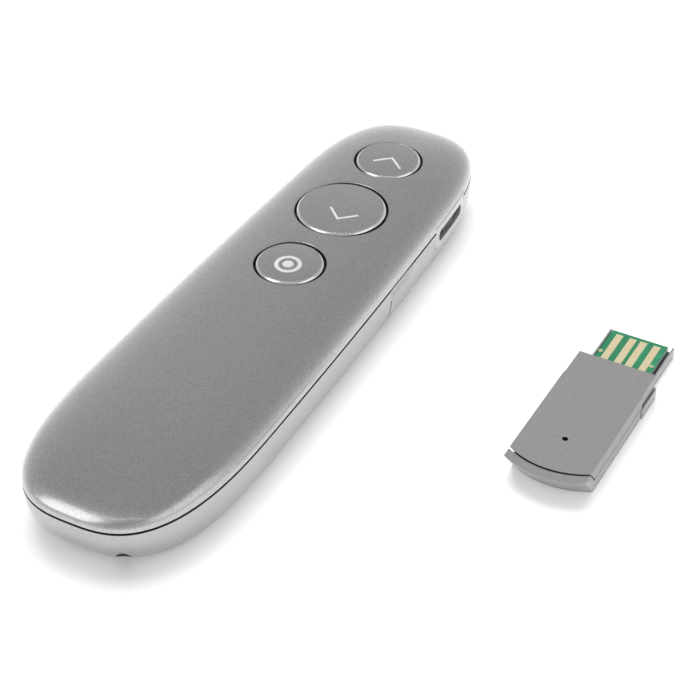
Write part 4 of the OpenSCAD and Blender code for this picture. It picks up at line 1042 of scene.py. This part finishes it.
# %% [markdown]
# ## The receiver
# A flat plug for the computer: a silver tray, a matt cover whose rear edge is bowed and
# leans back, and a green board with gold contacts. Both mouldings could be swept blocks;
# they are drawn as rings that follow the plan, one ring for each edge of the form.

# %% Plan of the receiver
PLUG = np.array([57.6, 18.9, 0])
PLUG_HALF, PLUG_TOP, SIDE_Z, LIP_TOP = 7.2, 5.0, 2.2, 4.85
BOW, LEAN = 2.0, math.radians(38)
COVER_BACK, TRAY_BACK, LIP_SLOT = 24.494, 26.894, 0.4
SHOULDER_Y, SHOULDER, CHEEK, PLUG_ROUND = 6.2, 0.15, 0.2, 0.07
POCKET_HALF, POCKET_BACK, POCKET_FRONT = 6.4, -23.69, -0.8
TONGUE_HALF, TROUGH_HALF, TONGUE_LEN, TONGUE_Z, TROUGH_Z = 6.0, 5.7, 12.0, 2.0, 0.8


def rear_line(x, z, back):
    """Where a leaning face stands: it starts at its foot, moves back with the height times
    the slope, and bows out by the arc's drop from its middle, drawn out by the lean."""
    flat_bow = BOW * math.cos(LEAN)
    radius = (PLUG_HALF ** 2 + flat_bow ** 2) / (2 * flat_bow)
    return -back - z * math.tan(LEAN) - BOW + (radius - np.sqrt(radius ** 2 - x ** 2)) / math.cos(LEAN)


def plug_ring(x, y, z):
    """A closed ring in the frame of the whole object, from its right half, which runs from
    the rear middle to the front middle."""
    right = xyz(x, y, z)
    return np.r_[right, right[-2::-1] * (-1, 1, 1)] + PLUG


rear_x = np.linspace(0, PLUG_HALF, 27)
print("rear edge of the cover", rear_line(rear_x[[0, -1]], PLUG_TOP, COVER_BACK).round(2))

# %% [markdown]
# The cover is a lid over a pocket, with a slit low in each flank and a hole for the lamp.
# The slit could be cut out, but along a ring it is only a change of height.

# %% Plug cover
SLIT_Z, PLUG_SEAM, LAMP_BACK, LAMP_R, ROOF_T = 2.62, 0.14, 22.4, 0.5, 0.8
BAND_SIZE, BAND_MIDDLE = (0.9, 0.93, 1), PLUG - (0, 14, 0)
flank_y = np.array([-23, -16, -11, -6.32, -6.17, -6.06, -6.05, -3, -0.8, -0.79, -0.15])
flank_x = PLUG_HALF - SHOULDER * (flank_y > -SHOULDER_Y)
front_x = np.linspace(PLUG_HALF - SHOULDER, 0, 9)
flank_z = np.where((flank_y > -6.055) & (flank_y < -0.795), SLIT_Z, SIDE_Z + PLUG_SEAM)


def plug_cover_ring(rear_z, side_z, front_z):
    """The cover's plan at a height: bowed and leaning rear edge, flanks and front."""
    z = np.r_[0 * rear_x + rear_z, 0 * flank_x + side_z, 0 * front_x + front_z]
    y = np.r_[rear_line(rear_x, rear_z, COVER_BACK), flank_y, 0 * front_x]
    return plug_ring(np.r_[rear_x, flank_x, front_x], y, z)


def into_pocket(ring, z):
    """The ring clamped into the pocket's rectangle, at a height of its own."""
    low, high = (-POCKET_HALF, POCKET_BACK), (POCKET_HALF, POCKET_FRONT)
    x, y = (np.clip(ring[:, :2] - PLUG[:2], low, high) + PLUG[:2]).T
    return xyz(x, y, z)


crown = plug_cover_ring(PLUG_TOP, PLUG_TOP, PLUG_TOP)
foot = plug_cover_ring(SIDE_Z + PLUG_SEAM, flank_z, SIDE_Z + PLUG_SEAM)
band = (crown - BAND_MIDDLE) * BAND_SIZE + BAND_MIDDLE
lamp_top, lamp_foot = (PLUG + xyz(LAMP_R * circle[1], -LAMP_BACK - LAMP_R * circle[0], z)
                       for z in (PLUG_TOP, PLUG_TOP - ROOF_T))
pocket_foot, pocket_roof = into_pocket(foot, foot[:, 2]), into_pocket(foot, PLUG_TOP - ROOF_T)
plug_cover = Skin().join(band, crown).join(crown, foot)
plug_cover.join(foot, pocket_foot, 1).join(pocket_foot, pocket_roof, 1)
plug_cover.zip(band, lamp_top).join(lamp_top, lamp_foot, 1, flip=True)
plug_cover.zip(pocket_roof, lamp_foot, flip=True, finish=1)
plug_cover.piece("plug_cover", "receiver", [plug_paint, dark_plastic_and_groove_shade], "receiver_metal",
                 "receiver_cover", soften=PLUG_ROUND)

# %% [markdown]
# The tray has a raised lip behind and a trough in front, where the board lies. It could be
# hollowed out of a block; here its rings go up the outside, over the edge and down again.

# %% Plug tray
lip_back = COVER_BACK + LIP_SLOT
side_y = np.array([rear_line(PLUG_HALF, SIDE_Z, lip_back),
                   -20, -13, -6.86, -6.8, -6.2, -6.14, -3, -0.1, 0])
side_x = PLUG_HALF + np.array([0, 0, 0, 0, -SHOULDER, -SHOULDER, CHEEK, CHEEK, CHEEK, CHEEK / 2])
nose_y = np.array([0, 0.02, 4, 8] + [TONGUE_LEN] * 5)
nose_x = [TONGUE_HALF] * 5 + [TROUGH_HALF, TROUGH_HALF - 0.01, 3, 0]
trough_x = [TROUGH_HALF] * 6 + [TROUGH_HALF - 0.01, 3, 0]
rim_z = np.array([SIDE_Z] * 11 + [TONGUE_Z] * 4 + [TROUGH_Z] * 4)


def tray_ring(rear_z, back, other_z):
    """The tray's plan at one edge of the form: the rear part has its own height and face."""
    y = np.r_[rear_line(rear_x, rear_z, back), side_y, nose_y]
    return plug_ring(np.r_[rear_x, side_x, nose_x], y, np.r_[0 * rear_x + rear_z, other_z])


inner_x = np.r_[np.minimum(rear_x, POCKET_HALF), 0 * side_x + POCKET_HALF, trough_x]
inner_y = np.r_[0 * rear_x + POCKET_BACK, np.clip(side_y, POCKET_BACK, POCKET_FRONT),
                POCKET_FRONT, nose_y[1:]]
rings = [tray_ring(0, TRAY_BACK, 0 * rim_z), tray_ring(LIP_TOP, TRAY_BACK, rim_z),
         tray_ring(LIP_TOP, lip_back, rim_z), tray_ring(SIDE_Z, lip_back, rim_z),
         plug_ring(inner_x, inner_y, np.r_[0 * rear_x + SIDE_Z, rim_z]),
         plug_ring(inner_x, inner_y, TROUGH_Z)]
plug_tray = Skin().panel(rings[0][:-1][::-1])
for low, high, finish in zip(rings[:5], rings[1:], (0, 1, 0, 0, 0)):
    plug_tray.join(high, low, finish)
plug_tray.panel(rings[5][:-1], 2)
plug_tray.piece("plug_tray", "receiver", [plug_silver, plug_paint, dark_plastic_and_groove_shade], "receiver_silver",
                "receiver_tray", soften=PLUG_ROUND)

# %% [markdown]
# Two plated holes show on the board. They could be painted on, but a turned ring of gold
# catches the light on its round edge.

# %% Vias on the plug board
VIAS, VIA_FOOT = [(-5.25, 5.65), (4.23, 5.7)], 1.75
VIA_RING = [(0, 1.79), (0.14, 1.79), (0.16, 1.84), (0.22, 1.86), (0.34, 1.83), (0.38, 1.79)]
vias = Skin()
for x, y in VIAS:
    vias.turned(VIA_RING + [(0, VIA_FOOT)], PLUG + (x, y, 0), 32)
vias.piece("plug_vias", "receiver", [contact_gold], "gold")

# %% [markdown]
# ## The cells and their springs
# Two AAA cells lie side by side with their knobs turned opposite ways. A cylinder would do
# for a hidden cell, but these show when the door slides off, so a lathe profile gives them
# a rolled rim, a sleeve that stops short of the ends, and a stepped knob.

# %% Cells
CELL_R, CELL_LEN, CELL_Z, SLEEVE_R = 5.25, 44.5, 6.75, 4.6
# Each stage has its finish and its profile: cap, sleeve, printed band, sleeve, base
CELL_STAGES = [
    (1, [(0, CELL_LEN), (1.5, CELL_LEN), (1.8, 44.35), (1.9, 44.1), (1.9, 43.5), (3.6, 43.5),
         (4.1, 43.3), (SLEEVE_R, 43.3)]),
    (0, [(SLEEVE_R, 43.3), (4.95, 43.5), (5.2, 43.35), (CELL_R, 43.1), (CELL_R, 36.5)]),
    (2, [(CELL_R, 36.5), (CELL_R, 34.9)]),
    (0, [(CELL_R, 34.9), (CELL_R, 0.4), (5.2, 0.12), (4.95, 0.02)]),
    (1, [(4.95, 0.02), (SLEEVE_R, 0.18), (3.9, 0.18), (3.6, 0.0), (0, 0.0)]),
]
CELLS = {"battery_left": (-5.75, -43.7, 1), "battery_right": (5.75, -2.6, -1)}
for name, (x, y, way) in CELLS.items():
    cell = Skin()
    for finish, stage in CELL_STAGES[::way]:
        cell.turned(np.array(stage[::way]) * (1, way), (x, y, CELL_Z), 72, finish, along="y")
    cell.piece(name + "_cell", "clicker", [sleeve, nickel, sleeve_band], "cell_wrap", name,
               crisp=math.radians(40))

# %% [markdown]
# Each spring is a wire whose turns narrow towards its cell. A curve with a bevel would do,
# but a grid carried along the helix makes one skin with flat, closed ends.

# %% Springs
SPRING_R0, SPRING_R1, SPRING_RUN, SPRING_WIRE, SPRING_TURNS, SPRING_ROOM = 3.255, 1.9, 2.7, 0.25, 3, 3.5


def coil(skin, centre, way):
    """A wire along a helix: the helix's radius falls evenly with the angle, and the wire's
    round section lies in the plane through the axis."""
    t = np.linspace(0, 1, 48 * SPRING_TURNS + 1)[:, None]
    turn, wire = 2 * np.pi * SPRING_TURNS * t, np.linspace(0, 2 * np.pi, 13)
    wire[-1] = 0
    out = SPRING_R0 + (SPRING_R1 - SPRING_R0) * t + SPRING_WIRE * np.cos(wire)
    rise = SPRING_WIRE + SPRING_RUN * t + SPRING_WIRE * np.sin(wire)
    tube = xyz(out * np.cos(turn), rise, out * np.sin(turn)) * (way, way, 1) + centre
    skin.grid(tube, flip=True).panel(tube[0, :-1]).panel(tube[-1, :-1][::-1])


springs = Skin()
for x, y, way in CELLS.values():
    coil(springs, (x, y - way * SPRING_ROOM, CELL_Z), way)
springs.piece("cell_springs", "clicker", [nickel], "steel", "battery_springs")
print("a spring is", 2 * SPRING_WIRE + SPRING_RUN, "mm long")

# %% [markdown]
# ## Camera, table and light
# A wide lens close by would show as much, but it makes the near end swell. A long lens from
# about a third of a metre keeps the forms true.

# %% Camera
LENS, SENSOR = 105.018, 36.0
EYE = Vector((0.1461436, -0.2417477, 0.2250378))
AHEAD = Vector((-0.37066927, 0.68725531, -0.62472749))
RIGHT = Vector((0.880448695, 0.474140756, -0.000799581))
UP = Vector((-0.29565925, 0.55033688, 0.78084245))
lens_data = bpy.data.cameras.new("studio camera")
lens_data.lens, lens_data.sensor_width, lens_data.sensor_fit = LENS, SENSOR, "HORIZONTAL"
lens_data.clip_start, lens_data.clip_end = 0.01, 20
camera = put("studio camera", lens_data)
camera.matrix_world = Matrix.Translation(EYE) @ Matrix((RIGHT, UP, -AHEAD)).transposed().to_4x4()
bpy.context.scene.camera = camera
bpy.context.scene.view_settings.view_transform = "Standard"

# %% [markdown]
# The table is a pale sheet under a round white tent. A picture of a studio could surround
# it, but a ramp from the horizon up gives the paint all that it needs to mirror.

# %% Table and tent
SHEET_GAIN, SHEET_HALF = 1.42, 4.0
TENT = [(0.0, 1.1), (0.10, 1.02), (0.28, 0.76), (0.55, 0.57), (0.75, 0.47), (1.0, 0.44)]


def table_top():
    """A pale sheet. To the camera and in gloss it is white, darkened only where the object
    shades it, and further off it turns into plain white paper without an edge."""
    made = Finish("table sheet")
    fibre = made.blend(made.noise(2.0, 3), grey(0.80), grey(0.84))
    sheet = made.node("BsdfDiffuse", None, {"Color": fibre, "Roughness": 0.5})
    bright = made.node("BsdfDiffuse", None, {"Color": grey(SHEET_GAIN), "Roughness": 0.5})
    paper = made.node("Emission", None, {"Color": grey(1.0), "Strength": 1.0})
    away = made.node("VectorMath", {"operation": "LENGTH"}, {0: made.place()}, "Value")
    fade = made.node("MapRange", None, {"Value": away, "From Min": 0.12, "From Max": 0.40})
    near_far = made.node("MixShader", None, {0: fade, 1: bright, 2: paper})
    ray = [made.node("LightPath", out=f"Is {kind} Ray") for kind in ("Camera", "Glossy", "Transmission")]
    seen = ray[0].math("MAXIMUM", ray[0], ray[1].math("MAXIMUM", ray[1], ray[2]))
    return made.end(made.node("MixShader", None, {0: seen, 1: sheet, 2: near_far}))


def tent():
    """A round white tent: bright where it meets the table, greyer overhead. The ramp reads
    the sine of the height above the horizon."""
    made = Finish("tent", bpy.data.worlds)
    rise = made.node("SeparateXYZ", None, {"Vector": made.node("TexCoord", out="Generated")}, "Z")
    stops = [(place, grey(level)) for place, level in TENT]
    cloth = made.node("ValToRGB", {"stops": stops}, {"Fac": rise})
    return made.end(made.node("Background", None, {"Color": cloth, "Strength": 1.0}), "World")


sheet_mesh = bpy.data.meshes.new("table")
sheet_mesh.from_pydata([(x * SHEET_HALF, y * SHEET_HALF, 0)
                        for x, y in ((-1, -1), (1, -1), (1, 1), (-1, 1))], [], [[0, 1, 2, 3]])
sheet_mesh.materials.append(table_top())
table = put("table", sheet_mesh)
bpy.context.scene.world = tent()
print("the table is", 2 * SHEET_HALF, "m wide")

# %% [markdown]
# Shading comes from one large lamp above, beyond the nose. It could be mirrored too, but
# two soft cards and a thin tube over the keys put the highlights where they are wanted.

# %% Lamps
# Name, place and size in metres, watts; the top lamp isn't mirrored, the others only are
LAMPS = [("top lamp", (-0.22, 0.32, 1.05), (0.8, 0.8), 6.6),
         ("left card", (-0.43, -0.512, 0.62), (0.5, 0.6), 1.9),
         ("right card", (0.76, 0.02, 0.52), (0.8, 0.55), 1.1),
         ("front tube", (0.03, -0.3, 0.96), (0.9, 0.02), 0.28)]
for name, place, size, watts in LAMPS:
    data = bpy.data.lights.new(name, "AREA")
    data.shape, (data.size, data.size_y), data.energy = "RECTANGLE", size, watts
    lamp = put(name, data)
    lamp.location, lamp.rotation_euler = place, (-Vector(place)).to_track_quat("-Z", "Y").to_euler()
    lamp.visible_glossy, lamp.visible_diffuse = name != "top lamp", name == "top lamp"
print("camera and", len(LAMPS), "lamps are set")
